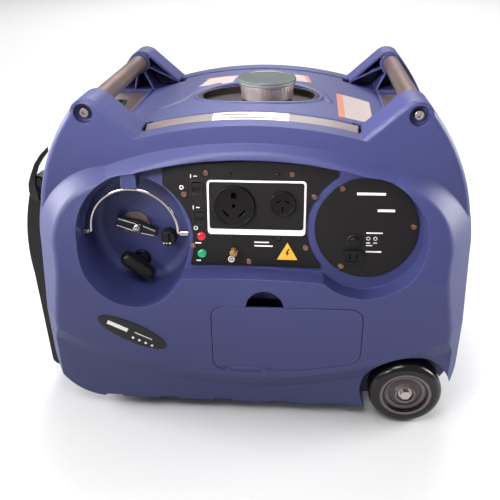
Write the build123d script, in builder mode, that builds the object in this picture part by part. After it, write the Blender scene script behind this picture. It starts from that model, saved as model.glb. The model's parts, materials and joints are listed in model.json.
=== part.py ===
"""Portable inverter generator: a closed moulded case on two wheels, with a folding tow handle.

The model stands on Z = 0 with the control side facing -Y and +X to the right of the controls.
Lengths are millimetres.  X is laid out from the middle of the moulded case, and every piece is
shifted by frame_shift when it is written, so that the origin is under the middle of the whole
object, tow handle included.
"""
from build123d import *
from math import cos, radians, sin, sqrt, tan
import os

os.makedirs("parts", exist_ok=True)

# ---------------------------------------------------------------- driving dimensions
half_width = 287.0          # case, middle to widest point of the side
front_reach = 225.0         # middle of the depth to the flat lower front face
case_bottom = 19.0          # underside of the case above the floor
bottom_corner = 78.0        # radius of the lower corners, seen from the front
shoulder_z = 262.0          # height where the sides start to lean in
shoulder_radius = 279.0     # radius of the leaning part of the sides
crown_z = 422.0             # top edge of the front shell at the middle
crown_radius = 568.0        # radius of the top edge, seen from the front
deck_z = 388.0              # flat deck under the top cover and the hand trays
wall = 4.0                  # moulded wall
seam = 0.5                  # gap at each side of a shell joint
shell_joint = 112.0         # front and rear shells end here, at each side of the middle

ear_x = 204.0               # tip of an ear before it is rounded
ear_tip_z = 464.0
ear_knee_x = 219.0          # where the curved outer side turns into the tip
ear_foot_x = 138.0          # inner foot of an ear on the top edge
ear_tip_radius = 22.0
ear_inner = 124.0           # open face of an ear, towards the middle
ear_front = 177.0           # closed face of an ear
ear_round = 8.0             # rounding of its rim

arch_back = 150.0           # the front bulge starts its slope here
arch_slope = 40.0           # degrees, slope of the border of the bulge
arch_side = 330.0           # half width of the bulge at arch_back, before the case cuts it
arch_side_z = 165.0         # the sides of the bulge start to close in above this height
arch_waist = (313.0, 262.0) # and pass through this point
fascia_break_z = 232.0      # above this height the front leans back
fascia_lean = 13.0          # degrees
crease_round = 12.0         # rounding of the border of the bulge
smile_radius = 525.0        # lower edge of the flat front is a wide arc
smile_low_z = 72.0          # its lowest point
smile_step = 10.0           # how far the lip below it is set back
smile_drop = 23.0           # height of the sloping band between them

panel_y = -194.0            # control panel plane at its lower edge
panel_z = 228.0
panel_lean = 9.0            # degrees
panel_thick = 3.0

bay_x = -152.0              # round bay at the left of the panel
bay_z = 268.0
bay_half_width = 72.0
bay_half_height = 85.0
bay_floor_y = -140.0
bay_floor_round = 14.0
dc_x = 151.0                # round direct current recess at the right
dc_v = 62.8                 # its height up the panel plane
dc_recess_radius = 76.0
dc_disc_radius = 66.0

wheel_diameter = 101.6
wheel_x = 219.0
wheel_reach = 226.0         # outer face of a wheel from the middle of the depth
wheel_width = 37.0
wheel_arch_gap = 12.0
axle_diameter = 12.0
running_clearance = 0.05    # radial, on every shaft that turns

tube_diameter = 25.0        # carry tubes
tube_z = 435.0
tube_x = 205.0
bolt_recess_radius = 12.5
bolt_recess_depth = 10.0

tow_reach = 320.0           # outermost point of the folded tow handle
tow_pivot_x = -288.5
tow_pivot_z = 333.0
tow_arm_y = 138.0           # inner face of an arm
tow_arm_thick = 14.0
tow_grip_x = -305.0
tow_grip_z = 36.0
tow_gap = 1.5               # between an arm and the case side

cap_x = 14.0                # fuel cap axis
cap_y = -14.0
cap_radius = 41.5
cover_crown_z = 426.0       # top cover at its front edge
cover_rear_z = 421.0
cover_half_width = 188.0
cover_front_y = -127.0
strip_front_y = -149.6

dc_recess_z = 283.0

door_left = -51.0           # service compartment door
door_right = 153.0
door_low = 83.0
door_top = 191.0
door_rise = 21.0            # the lower edge is this much higher at the right
door_corner_radius = 18.0
door_gap = 1.2

frame_shift = (tow_reach - half_width) / 2
case_side_z = case_bottom + bottom_corner
crown_centre_z = crown_z - crown_radius
panel_plane = Plane(origin=(0, panel_y, panel_z), x_dir=(1, 0, 0),
                    z_dir=(0, -cos(radians(panel_lean)), sin(radians(panel_lean))))


panel_out = Axis((0, 0, 0), tuple(panel_plane.z_dir))


def facing(y):
    """Plane that looks out of the front of the case, at depth y."""
    return Plane(origin=(0, y, 0), x_dir=(1, 0, 0), z_dir=(0, -1, 0))


def on_panel(height):
    """Plane parallel to the control panel, height above the recess floor."""
    return panel_plane.offset(height)


def crown_at(x, radius=crown_radius):
    return crown_centre_z + sqrt(radius**2 - x**2)


def shoulder_at(z):
    """Half width of the case where the side leans in."""
    return half_width - shoulder_radius + sqrt(shoulder_radius**2 - (z - shoulder_z)**2)


def shoulder_height(x):
    return shoulder_z + sqrt(shoulder_radius**2 - (x - half_width + shoulder_radius)**2)


def save(build, label):
    """Label a finished piece, move it to the common origin and write it."""
    build.part.label = label
    placed = build.part.moved(Location((frame_shift, 0, 0)))
    placed.label = label
    export_step(placed, f"parts/{label}.step")


# ---------------------------------------------------------------- outlines seen from the front
def eared_outline(inset=0.0):
    """Outline of the end shells with their two ears."""
    knee = (ear_knee_x, shoulder_height(ear_knee_x))
    with BuildSketch() as outline:
        with BuildLine():
            base = Line((0, case_bottom), (half_width - bottom_corner, case_bottom))
            corner = RadiusArc(base @ 1, (half_width, case_side_z), -bottom_corner)
            side = Line(corner @ 1, (half_width, shoulder_z))
            lean = RadiusArc(side @ 1, knee, -shoulder_radius)
            tip = Line(lean @ 1, (ear_x, ear_tip_z))
            slope = Line(tip @ 1, (ear_foot_x, crown_at(ear_foot_x)))
            crown = RadiusArc(slope @ 1, (0, crown_z), -crown_radius)
            Line(crown @ 1, base @ 0)
        make_face()
        mirror(about=Plane.YZ)
        fillet(outline.vertices().group_by(Axis.Y)[-1], radius=ear_tip_radius)
        offset(amount=-inset, mode=Mode.REPLACE)
    return outline.sketch


def body_outline(inset=0.0):
    """Outline of the middle of the case, flat on top at the deck."""
    with BuildSketch() as outline:
        with BuildLine():
            base = Line((0, case_bottom), (half_width - bottom_corner, case_bottom))
            corner = RadiusArc(base @ 1, (half_width, case_side_z), -bottom_corner)
            side = Line(corner @ 1, (half_width, shoulder_z))
            lean = RadiusArc(side @ 1, (shoulder_at(deck_z), deck_z), -shoulder_radius)
            deck = Line(lean @ 1, (0, deck_z))
            Line(deck @ 1, base @ 0)
        make_face()
        mirror(about=Plane.YZ)
        offset(amount=-inset, mode=Mode.REPLACE)
    return outline.sketch


def arch_outline(inset=0.0):
    """Outline of the front bulge where its slope starts."""
    with BuildSketch() as outline:
        with BuildLine():
            base = Line((0, -100), (arch_side, -100))
            side = Line(base @ 1, (arch_side, arch_side_z))
            flank = Line(side @ 1, arch_waist)
            bend = ThreePointArc(flank @ 1, (272, 352), (190, crown_at(190)))
            crown = RadiusArc(bend @ 1, (0, crown_z), -crown_radius)
            Line(crown @ 1, base @ 0)
        make_face()
        mirror(about=Plane.YZ)
        offset(amount=-inset, mode=Mode.REPLACE)
    return outline.sketch


def recess_outline(grow=0.0):
    """Mouth of the shallow recess that holds the bay, the panel and the disc."""
    with BuildSketch() as outline:
        with BuildLine():
            top = ThreePointArc((150, 362), (0, 382), (-150, 362))
            left = ThreePointArc(top @ 1, (-208, 332), (-224, 275))
            low_left = Line(left @ 1, (-100, 229))
            low = ThreePointArc(low_left @ 1, (0, 232), (104, 228))
            low_right = Line(low @ 1, (226, 275))
            ThreePointArc(low_right @ 1, (209, 332), top @ 0)
        make_face()
        offset(amount=grow, mode=Mode.REPLACE)
        with Locations((bay_x, bay_z)):
            Ellipse(bay_half_width + grow, bay_half_height + grow)
        with Locations((dc_x, dc_recess_z)):
            Circle(dc_recess_radius + grow)
    return outline.sketch


def bay_outline(grow=0.0):
    with BuildSketch() as outline:
        with Locations((bay_x, bay_z)):
            Ellipse(bay_half_width + grow, bay_half_height + grow)
    return outline.sketch


def door_outline(inset=0.0):
    """Cover of the service compartment, its lower edge rising to the right."""
    with BuildSketch() as outline:
        with BuildLine():
            left = Line((door_left, door_low), (door_left, door_top - 1.5))
            top = Line(left @ 1, (door_right, door_top))
            right = Line(top @ 1, (door_right, door_low + door_rise))
            ThreePointArc(right @ 1, (60, door_low + 3), left @ 0)
        make_face()
        fillet(outline.vertices(), radius=door_corner_radius)
        offset(amount=-inset, mode=Mode.REPLACE)
    return outline.sketch


def wheel_well_outline(radius):
    with BuildSketch() as outline:
        with Locations((wheel_x, wheel_diameter / 2)):
            Circle(radius)
    return outline.sketch


# ---------------------------------------------------------------- end shells
well_radius = wheel_diameter / 2 + wheel_arch_gap
well_depth_y = wheel_reach - wheel_width - 7.0      # inner wall of a wheel well
reach = front_reach + 5.0                           # cutters start clear of the front
lean_rise = tan(radians(fascia_lean))
crown_end_z = 460.0

with BuildPart() as bulge:
    with BuildSketch(facing(-arch_back)):
        add(arch_outline())
    extrude(amount=front_reach - arch_back, taper=arch_slope)
    with BuildSketch(Plane.YZ.offset(-400)):
        with BuildLine():
            Polyline((-front_reach, fascia_break_z),
                     (-front_reach + (crown_end_z - fascia_break_z) * lean_rise, crown_end_z),
                     (-330, crown_end_z), (-330, fascia_break_z), close=True)
        make_face()
    extrude(amount=800, mode=Mode.SUBTRACT)
    crease = [edge for edge in bulge.edges()
              if edge.center().Y < -arch_back - 30 and edge.center().Z > 0 and abs(edge.center().X) > 1]
    crease += [edge for edge in bulge.edges()
               if edge.center().Y < -arch_back - 30 and edge.center().Z > fascia_break_z + 10
               and abs(edge.center().X) <= 1]
    fillet(crease, radius=crease_round)


with BuildPart() as smile_cut:
    with BuildSketch(facing(-front_reach + smile_step)):
        with Locations((0, 120)):
            Rectangle(2 * half_width + 80, 400)
    extrude(amount=smile_step + 5)
    with BuildSketch(facing(-front_reach + smile_step)):
        with Locations((0, smile_low_z + smile_radius)):
            Circle(smile_radius + smile_drop)
    with BuildSketch(facing(-front_reach)):
        with Locations((0, smile_low_z + smile_radius)):
            Circle(smile_radius)
    loft(mode=Mode.SUBTRACT)
    with BuildSketch(facing(-front_reach)):
        with Locations((0, smile_low_z + smile_radius)):
            Circle(smile_radius)
    extrude(amount=10, mode=Mode.SUBTRACT)

with BuildPart() as envelope:
    add(bulge.part)
    with BuildSketch(facing(-arch_back)):
        add(eared_outline())
    extrude(amount=reach - arch_back, mode=Mode.INTERSECT)
    add(smile_cut.part, mode=Mode.SUBTRACT)
    with BuildSketch(facing(-ear_inner)):
        add(eared_outline())
    extrude(amount=ear_front - ear_inner)
    with BuildSketch(facing(-shell_joint)):
        add(body_outline())
    extrude(amount=ear_inner - shell_joint)
    ear_rims = envelope.edges().filter_by_position(Axis.Y, -ear_front - 0.1, -ear_front + 0.1)
    fillet(ear_rims.filter_by(lambda edge: ear_foot_x < abs(edge.center().X) < ear_knee_x), radius=ear_round)

smile_clear_z = 135.0       # the lip below the flat front stays under this height
strip_seat = 8.0            # step behind the front top edge, under the decor strip
header_skin = 12.0


def inner_form(inset):
    """Inside of the front shell, inset from its outer skin."""
    with BuildPart() as form:
        with BuildSketch(facing(-arch_back)):
            add(arch_outline(inset / cos(radians(arch_slope))))
        extrude(amount=front_reach - inset - arch_back, taper=arch_slope)
        with BuildSketch(Plane.YZ.offset(-400)):
            with BuildLine():
                Polyline((-front_reach + inset, fascia_break_z),
                         (-front_reach + inset + (crown_end_z - fascia_break_z) * lean_rise, crown_end_z),
                         (-330, crown_end_z), (-330, fascia_break_z), close=True)
            make_face()
        extrude(amount=800, mode=Mode.SUBTRACT)
        with BuildSketch(facing(-front_reach + smile_step + inset)):
            with Locations((0, smile_clear_z)):
                Rectangle(800, 400, align=(Align.CENTER, Align.MAX))
        extrude(amount=20, mode=Mode.SUBTRACT)
        with BuildSketch(facing(-shell_joint + 1)):
            add(body_outline(inset))
        extrude(amount=ear_front - inset - shell_joint + 1)
        with BuildSketch(facing(-shell_joint + 1)):
            add(body_outline(inset))
        extrude(amount=reach - shell_joint, mode=Mode.INTERSECT)
    return form.part


ear_rib = 2.4
ear_rib_length = 90.0
ear_boss_radius = tube_diameter / 2 + 4.5
ear_rib_angles = [35, 85, 150, 205, 245, 285, 330]


def ear_pocket_outline():
    """Hollow of both ears, seen from the front."""
    with BuildSketch() as outline:
        add(eared_outline(wall))
        with Locations((0, 300)):
            Rectangle(2 * half_width + 20, 2 * (deck_z + wall - 300), mode=Mode.SUBTRACT)
        with Locations((0, crown_z)):
            Rectangle(2 * ear_foot_x - 8, 200, mode=Mode.SUBTRACT)
    return outline.sketch


def header_outline():
    """Hollow behind the top edge, between the ears."""
    with BuildSketch() as outline:
        with Locations((0, crown_centre_z)):
            Circle(crown_radius - header_skin)
        with Locations((0, deck_z + wall + 50)):
            Rectangle(2 * ear_foot_x - 24, 100, mode=Mode.INTERSECT)
    return outline.sketch


with BuildPart() as ear_walls:
    with BuildSketch(facing(-ear_inner)):
        for side in (-1, 1):
            for angle in ear_rib_angles:
                rib_angle = angle if side > 0 else 180 - angle
                with Locations(Location((side * tube_x, tube_z, 0), (0, 0, rib_angle))):
                    Rectangle(ear_rib_length, ear_rib, align=(Align.MIN, Align.CENTER))
    extrude(amount=ear_front - ear_inner - 1)
    with BuildSketch(facing(-ear_inner)):
        add(ear_pocket_outline())
    extrude(amount=ear_front - ear_inner - 1, mode=Mode.INTERSECT)
    with BuildSketch(facing(-ear_inner)):
        with Locations((-tube_x, tube_z), (tube_x, tube_z)):
            Circle(ear_boss_radius)
    extrude(amount=ear_front - ear_inner - 1)

tub_wall = 3.5
tub_root = 1.5              # tub walls end inside the outer skin
panel_floor = 4.0
compartment_y = -168.0
thumb_radius = 25.0
thumb_x = 22.0
thumb_depth = 22.0

with BuildPart() as recess_tub:
    with BuildSketch(facing(-arch_back)):
        add(recess_outline(tub_wall))
    extrude(amount=reach - arch_back)
    with BuildSketch(on_panel(-panel_floor)):
        Rectangle(800, 800)
    extrude(amount=-200, mode=Mode.SUBTRACT)

with BuildPart() as tubs:
    add(recess_tub.part)
    with BuildSketch(facing(bay_floor_y + tub_wall)):
        add(bay_outline(tub_wall))
    extrude(amount=reach + bay_floor_y + tub_wall)
    with BuildSketch(facing(compartment_y + tub_wall)):
        add(door_outline(-tub_wall))
    extrude(amount=reach + compartment_y + tub_wall)
    with BuildSketch(facing(-front_reach + thumb_depth + tub_wall)):
        with Locations((thumb_x, door_top - 6)):
            Circle(thumb_radius + tub_wall)
    extrude(amount=reach)
    with BuildSketch(facing(-well_depth_y + tub_wall)):
        add(wheel_well_outline(well_radius + tub_wall))
    extrude(amount=reach)
    add(inner_form(tub_root), mode=Mode.INTERSECT)

with BuildPart() as recess_cut:
    with BuildSketch(facing(-arch_back)):
        add(recess_outline())
    extrude(amount=reach - arch_back)
    with BuildSketch(on_panel(0)):
        Rectangle(800, 800)
    extrude(amount=-200, mode=Mode.SUBTRACT)

with BuildPart() as bay_cut:
    with BuildSketch(facing(bay_floor_y)):
        add(bay_outline())
    extrude(amount=reach + bay_floor_y)
    fillet(bay_cut.faces().sort_by(Axis.Y)[-1].edges(), radius=bay_floor_round)

notch_width = 26.0
notch_height = 3.0
notch_pitch = 81.5
notch_centres = [1.0 + notch_pitch * (step - 2.5) for step in range(5)]

panel_window_width = 150.0
panel_window_height = 118.0
panel_window_v = 76.0
panel_screw_radius = 4.2
panel_screws_at = [(-55, 132.5), (-84, 104), (-74.4, 35), (55, 132.5), (84, 104), (74.4, 35), (0, 14)]
dc_screws_at = [(dc_x - 32, dc_v + 52), (dc_x + 60, dc_v + 4), (dc_x - 30, dc_v - 52)]

tube_bore_radius = tube_diameter / 2 + 0.1
bolt_hole_radius = 4.2
tow_lug_radius = 8.5
tow_lug_y = tow_arm_y - 0.5         # outer face of a lug
tow_lug_thick = 10.0
tow_pin_radius = 4.0


def tow_lug_outline():
    """Ear-shaped lug that carries a tow handle pin."""
    with BuildSketch() as outline:
        with Locations((tow_pivot_x, tow_pivot_z)):
            Circle(tow_lug_radius)
        with BuildLine():
            Polyline((tow_pivot_x, tow_pivot_z + tow_lug_radius), (-255, tow_pivot_z + 10),
                     (-255, tow_pivot_z - 40), (tow_pivot_x, tow_pivot_z - tow_lug_radius), close=True)
        make_face()
    return outline.sketch


def end_shell_cuts():
    """Openings that the front and the rear shell have in common."""
    with BuildPart() as cuts:
        with BuildSketch(facing(-ear_inner + 1)):
            with Locations((-tube_x, tube_z), (tube_x, tube_z)):
                Circle(tube_bore_radius)
        extrude(amount=ear_front - ear_inner - bolt_recess_depth - wall)
        with BuildSketch(facing(-ear_inner + 1)):
            with Locations((-tube_x, tube_z), (tube_x, tube_z)):
                Circle(bolt_hole_radius)
        extrude(amount=ear_front)
        with BuildSketch(facing(-ear_front + bolt_recess_depth)):
            with Locations((-tube_x, tube_z), (tube_x, tube_z)):
                Circle(bolt_recess_radius)
        extrude(amount=bolt_recess_depth + 10)
        with BuildSketch(facing(-well_depth_y)):
            add(wheel_well_outline(well_radius))
        extrude(amount=reach)
        with BuildSketch(facing(-shell_joint)):
            add(wheel_well_outline(axle_diameter / 2 + running_clearance))
        extrude(amount=reach)
        with BuildSketch(facing(-shell_joint)):
            for centre in notch_centres:
                with Locations((centre, case_bottom)):
                    Rectangle(notch_width, 2 * notch_height)
        extrude(amount=reach)
        with BuildSketch(facing(-shell_joint)):
            with Locations((tow_pivot_x, tow_pivot_z)):
                Circle(tow_pin_radius)
        extrude(amount=60)
    return cuts.part


def end_shell_base():
    """End shell before its own openings: skin, ears, ribs and tow lug."""
    with BuildPart() as base:
        add(envelope.part)
        add(inner_form(wall), mode=Mode.SUBTRACT)
        with BuildSketch(facing(-ear_inner + 1)):
            add(ear_pocket_outline())
        extrude(amount=ear_front - wall - ear_inner + 1, mode=Mode.SUBTRACT)
        with BuildSketch(facing(-ear_inner + 1)):
            add(header_outline())
        extrude(amount=arch_back + 6 - ear_inner + 1, mode=Mode.SUBTRACT)
        add(ear_walls.part)
        with BuildSketch(facing(-tow_lug_y + tow_lug_thick)):
            add(tow_lug_outline())
        extrude(amount=tow_lug_thick)
    return base.part


with BuildPart() as strip_step:
    with BuildSketch(facing(-ear_inner + 1)):
        with Locations((0, crown_z + 40)):
            Rectangle(2 * ear_foot_x + 6, 200)
        with Locations((0, crown_centre_z)):
            Circle(crown_radius - strip_seat, mode=Mode.SUBTRACT)
    extrude(amount=arch_back - ear_inner + 1)

clip_width = 20.0
clip_thick = 9.0
bail_y = -185.0
bail_radius = 59.0
bail_wire = 4.5
bail_x = -154.0
bail_z = 277.0
bail_bend = 2.9
clip_z = bail_z + bail_bend + bail_radius + bail_wire / 2 + 0.3

with BuildPart() as front_shell:
    add(end_shell_base())
    add(tubs.part)
    add(strip_step.part, mode=Mode.SUBTRACT)
    add(recess_cut.part, mode=Mode.SUBTRACT)
    add(bay_cut.part, mode=Mode.SUBTRACT)
    with BuildSketch(facing(compartment_y)):
        add(door_outline())
    extrude(amount=reach, mode=Mode.SUBTRACT)
    with BuildSketch(facing(-front_reach + thumb_depth)):
        with Locations((thumb_x, door_top - 2)):
            Circle(thumb_radius)
    extrude(amount=reach, mode=Mode.SUBTRACT)
    add(end_shell_cuts(), mode=Mode.SUBTRACT)
    with BuildSketch(on_panel(-20)):
        with Locations((0, panel_window_v)):
            RectangleRounded(panel_window_width, panel_window_height, 10)
        with Locations((dc_x, dc_v)):
            Circle(dc_disc_radius - 12)
        with Locations(*panel_screws_at, *dc_screws_at):
            Circle(1.9)
    extrude(amount=40, mode=Mode.SUBTRACT)
    with BuildSketch(facing(-arch_back - 20)):
        with Locations((bail_x, clip_z)):
            Rectangle(clip_width, bay_z + bay_half_height + 8 - clip_z, align=(Align.CENTER, Align.MIN))
    extrude(amount=-bail_y + clip_thick / 2 - arch_back - 20)
save(front_shell, "front_shell")

rear_slot_width = 160.0
rear_slot_height = 7.0
rear_slot_pitch = 16.0
rear_slot_z = 170.0
exhaust_x = -165.0
exhaust_z = 205.0
exhaust_hole_radius = 30.0

with BuildPart() as rear_cuts:
    with BuildSketch(facing(ear_front - 10)):
        for row in range(9):
            with Locations((75, rear_slot_z + row * rear_slot_pitch)):
                SlotOverall(rear_slot_width, rear_slot_height)
        with Locations((exhaust_x, exhaust_z)):
            Circle(exhaust_hole_radius)
    extrude(amount=-reach)

with BuildPart() as rear_well:
    with BuildSketch(facing(-well_depth_y + tub_wall)):
        add(wheel_well_outline(well_radius + tub_wall))
    extrude(amount=reach)
    add(inner_form(tub_root), mode=Mode.INTERSECT)

with BuildPart() as rear_shell:
    add(mirror(end_shell_base(), about=Plane.XZ, mode=Mode.PRIVATE))
    add(mirror(rear_well.part, about=Plane.XZ, mode=Mode.PRIVATE))
    add(mirror(end_shell_cuts(), about=Plane.XZ, mode=Mode.PRIVATE), mode=Mode.SUBTRACT)
    add(mirror(strip_step.part, about=Plane.XZ, mode=Mode.PRIVATE), mode=Mode.SUBTRACT)
    add(rear_cuts.part, mode=Mode.SUBTRACT)
save(rear_shell, "rear_shell")

# ---------------------------------------------------------------- side covers and hand trays
tray_inner = 190.0
tray_outer = 250.0
side_foot = 150.0           # the side covers reach in this far under the case
cover_end = shell_joint - seam
louvre_count = 9
louvre_pitch = 16.0
louvre_width = 130.0


def side_cover(side):
    """Side cover at the left (-1) or right (1), with an open seat for its hand tray."""
    with BuildPart() as cover:
        with BuildSketch(facing(cover_end)):
            add(body_outline())
            add(body_outline(wall), mode=Mode.SUBTRACT)
            with Locations((0, deck_z)):
                Rectangle(2 * tray_outer, 4 * wall, mode=Mode.SUBTRACT)
            with Locations((-side * (300 - side_foot), 200)):
                Rectangle(600, 500, mode=Mode.SUBTRACT)
        extrude(amount=2 * cover_end)
        with BuildSketch(Plane.YZ.offset(side * half_width)):
            for row in range(louvre_count):
                with Locations((0, 110 + row * louvre_pitch)):
                    SlotOverall(louvre_width, 7)
        extrude(amount=-side * 3 * wall, mode=Mode.SUBTRACT)
    return cover


left_side_cover = side_cover(-1)
save(left_side_cover, "left_side_cover")
right_side_cover = side_cover(1)
save(right_side_cover, "right_side_cover")

grille_x = -224.0
grille_half_length = 62.0
grille_half_width = 19.0
lattice_bar = 2.2


def grille_outline(grow=0.0):
    """Drop-shaped outline of the lattice grille, seen from above."""
    with BuildSketch() as outline:
        with BuildLine():
            nose = ThreePointArc((grille_x - grille_half_width, -30), (grille_x, -grille_half_length),
                                 (grille_x + grille_half_width, -30))
            right = Line(nose @ 1, (grille_x + 8, 60))
            tail = ThreePointArc(right @ 1, (grille_x, 68), (grille_x - 8, 60))
            Line(tail @ 1, nose @ 0)
        make_face()
        offset(amount=grow, mode=Mode.REPLACE)
    return outline.sketch


def hand_tray(side):
    """Sunk floor under a carry tube."""
    width = tray_outer - tray_inner - seam
    with BuildPart() as tray:
        with BuildSketch(Plane.XY.offset(deck_z - wall)):
            with Locations((side * (tray_outer - seam / 2 - width / 2), 0)):
                Rectangle(width, 2 * cover_end - seam)
        extrude(amount=wall)
    return tray


with BuildPart() as left_hand_tray:
    add(hand_tray(-1).part)
    with BuildSketch(Plane.XY.offset(deck_z - 2 * wall)):
        add(grille_outline(0.3))
    extrude(amount=3 * wall, mode=Mode.SUBTRACT)
save(left_hand_tray, "left_hand_tray")
right_hand_tray = hand_tray(1)
save(right_hand_tray, "right_hand_tray")

with BuildPart() as lattice_grille:
    with BuildSketch(Plane.XY.offset(deck_z - wall + 0.5)):
        add(grille_outline())
        add(grille_outline(-4), mode=Mode.SUBTRACT)
    extrude(amount=wall + 1)
    with BuildSketch(Plane.XY.offset(deck_z - wall + 0.5)):
        for step in range(-7, 8):
            for angle in (45, -45):
                with Locations(Location((grille_x, step * 14, 0), (0, 0, angle))):
                    Rectangle(120, lattice_bar)
        add(grille_outline(-2), mode=Mode.INTERSECT)
    extrude(amount=wall - 1)
save(lattice_grille, "lattice_grille")

# ---------------------------------------------------------------- top cover, strip and badges
cap_tray_x = 2.0            # middle of the oval tray round the cap
cap_tray_y = -18.0
cap_tray_half_length = 86.0
cap_tray_half_width = 62.0
cap_tray_wall = 5.0
cap_tray_floor = 407.0
cap_tray_gap = 0.4
neck_radius = 31.0


def tray_outline(inset=0.0):
    """Oval round the fuel cap, seen from above."""
    with BuildSketch() as outline:
        with Locations((cap_tray_x, cap_tray_y)):
            Ellipse(cap_tray_half_length - inset, cap_tray_half_width - inset)
    return outline.sketch


def crown_band(profile, span):
    """Sweep a profile given as (y, z) points round the axis of the curved top edge."""
    with BuildPart() as band:
        with BuildSketch(Plane.YZ):
            with BuildLine():
                Polyline(*profile, close=True)
            make_face()
        revolve(axis=Axis((0, 0, crown_centre_z), (0, 1, 0)), revolution_arc=span)
    half_turned = Location((0, 0, crown_centre_z)) * Location((0, 0, 0), (0, -span / 2, 0))
    return band.part.moved(half_turned * Location((0, 0, -crown_centre_z)))


cover_span = 42.0           # degrees, wider than the cover
strip_span = 27.9

with BuildPart() as top_cover:
    add(crown_band([(cover_front_y, cover_crown_z - 10), (cover_front_y, cover_crown_z - 2),
                    (cover_front_y + 2, cover_crown_z), (arch_back - 4, cover_rear_z),
                    (arch_back - 0.4, cover_rear_z - 3), (arch_back - 0.4, cover_rear_z - 5.5),
                    (arch_back - 5, cover_rear_z - 5.5), (-110, cover_crown_z - 5)], cover_span))
    with BuildSketch(Plane.XY.offset(deck_z + 2)):
        Rectangle(2 * cover_half_width, 400)
    extrude(amount=60, mode=Mode.INTERSECT)
    with BuildSketch(Plane.XY.offset(deck_z)):
        for side in (-1, 1):
            with Locations((side * (cover_half_width - 1.5), 0)):
                Rectangle(3, 2 * (ear_inner - 2))
    extrude(amount=6)
    with BuildSketch(Plane.XY.offset(deck_z - 2)):
        for side in (-1, 1):
            for end in (-1, 1):
                with Locations((side * (ear_foot_x - 8), end * (ear_inner - 1.2))):
                    Rectangle(200, 100, align=(Align.MIN if side > 0 else Align.MAX,
                                               Align.MIN if end > 0 else Align.MAX))
    extrude(amount=80, mode=Mode.SUBTRACT)
    with BuildSketch(Plane.XY.offset(deck_z)):
        add(tray_outline())
    extrude(amount=80, mode=Mode.SUBTRACT)
save(top_cover, "top_cover")

with BuildPart() as cap_tray:
    with BuildSketch(Plane.XY.offset(cap_tray_floor)):
        add(tray_outline(cap_tray_gap))
    extrude(amount=12)
    with BuildSketch(Plane.XY.offset(cap_tray_floor + 3)):
        add(tray_outline(cap_tray_wall))
    extrude(amount=20, mode=Mode.SUBTRACT)
    with BuildSketch(Plane.XY.offset(cap_tray_floor - 5)):
        with Locations((cap_x, cap_y)):
            Circle(neck_radius + 1.0)
    extrude(amount=30, mode=Mode.SUBTRACT)
save(cap_tray, "cap_tray")

with BuildPart() as decor_strip:
    add(crown_band([(strip_front_y, crown_z - strip_seat + 0.2), (strip_front_y, crown_z - 2.5),
                    (cover_front_y - 0.6, crown_z + 2.5), (cover_front_y - 0.6, crown_z - strip_seat + 0.2)],
                   strip_span))
save(decor_strip, "decor_strip")

# ---------------------------------------------------------------- control panels

def panel_outline(inset=0.0):
    """Black panel between the bay and the disc."""
    with BuildSketch() as outline:
        with BuildLine():
            top = ThreePointArc((112, 140), (0, 147), (-112, 140))
            left = Line(top @ 1, (-112, 6))
            low = ThreePointArc(left @ 1, (0, 8), (112, 6))
            Line(low @ 1, top @ 0)
        make_face()
        with Locations((dc_x, dc_v)):
            Circle(dc_recess_radius + 1, mode=Mode.SUBTRACT)
        with Locations((bay_x, (bay_z - panel_z) / cos(radians(panel_lean)))):
            Ellipse(bay_half_width + 6, bay_half_height + 2, mode=Mode.SUBTRACT)
        fillet(outline.vertices(), radius=3)
        offset(amount=-inset, mode=Mode.REPLACE)
    return outline.sketch


rv_at = (-19.5, 89.3)
rv_radius = 27.75
small_at = (43.2, 93.5)
small_radius = 17.0
engine_rocker_at = (-67.6, 112.0)
econ_rocker_at = (-65.4, 73.0)
rocker_width = 12.0
rocker_height = 17.0
lamps_at = {"alarm_lamp": (-62.7, 47.7), "power_lamp": (-62.7, 23.6)}
lamp_radius = 6.0
earth_at = (-19.8, 28.5)
dc_socket_at = (136.4, 24.4)
breaker_at = (136.5, 45.4)
breaker_radius = 9.7
button_radius = 6.5
body_fit = 0.2              # gap round a part that sits in a panel hole

with BuildPart() as socket_panel:
    with BuildSketch(on_panel(0.1)):
        add(panel_outline())
        with Locations(rv_at):
            Circle(rv_radius - 4 + body_fit, mode=Mode.SUBTRACT)
        with Locations(small_at):
            Circle(small_radius - 3 + body_fit, mode=Mode.SUBTRACT)
        with Locations(engine_rocker_at, econ_rocker_at):
            Rectangle(rocker_width + 2 + 2 * body_fit, rocker_height + 2 + 2 * body_fit, mode=Mode.SUBTRACT)
        with Locations(*lamps_at.values()):
            Circle(lamp_radius - 1.5 + body_fit, mode=Mode.SUBTRACT)
        with Locations(earth_at):
            Circle(3 + body_fit, mode=Mode.SUBTRACT)
        with Locations(*panel_screws_at):
            Circle(2.2, mode=Mode.SUBTRACT)
    extrude(amount=panel_thick)
save(socket_panel, "socket_panel")

with BuildPart() as dc_panel:
    with BuildSketch(on_panel(0.1)):
        with Locations((dc_x, dc_v)):
            Circle(dc_disc_radius)
        with Locations(dc_socket_at):
            RectangleRounded(22 + 2 * body_fit, 14 + 2 * body_fit, 2, mode=Mode.SUBTRACT)
        with Locations(breaker_at):
            Circle(breaker_radius - 1.5 + body_fit, mode=Mode.SUBTRACT)
        with Locations(*dc_screws_at):
            Circle(2.2, mode=Mode.SUBTRACT)
    extrude(amount=panel_thick)
save(dc_panel, "dc_panel")

face = panel_thick + 0.1    # height of the panel faces above the recess floor
frame_at = (9.5, 87.5)
frame_width = 127.5
frame_height = 72.0
frame_line = 2.4
frame_band = 7.0

with BuildPart() as socket_frame:
    with BuildSketch(on_panel(face)):
        with Locations(frame_at):
            RectangleRounded(frame_width, frame_height, 5)
        with Locations((frame_at[0], frame_at[1] + (frame_band - frame_line) / 2)):
            RectangleRounded(frame_width - 2 * frame_line, frame_height - frame_line - frame_band, 3.5,
                             mode=Mode.SUBTRACT)
    extrude(amount=1.6)
save(socket_frame, "socket_frame")


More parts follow.
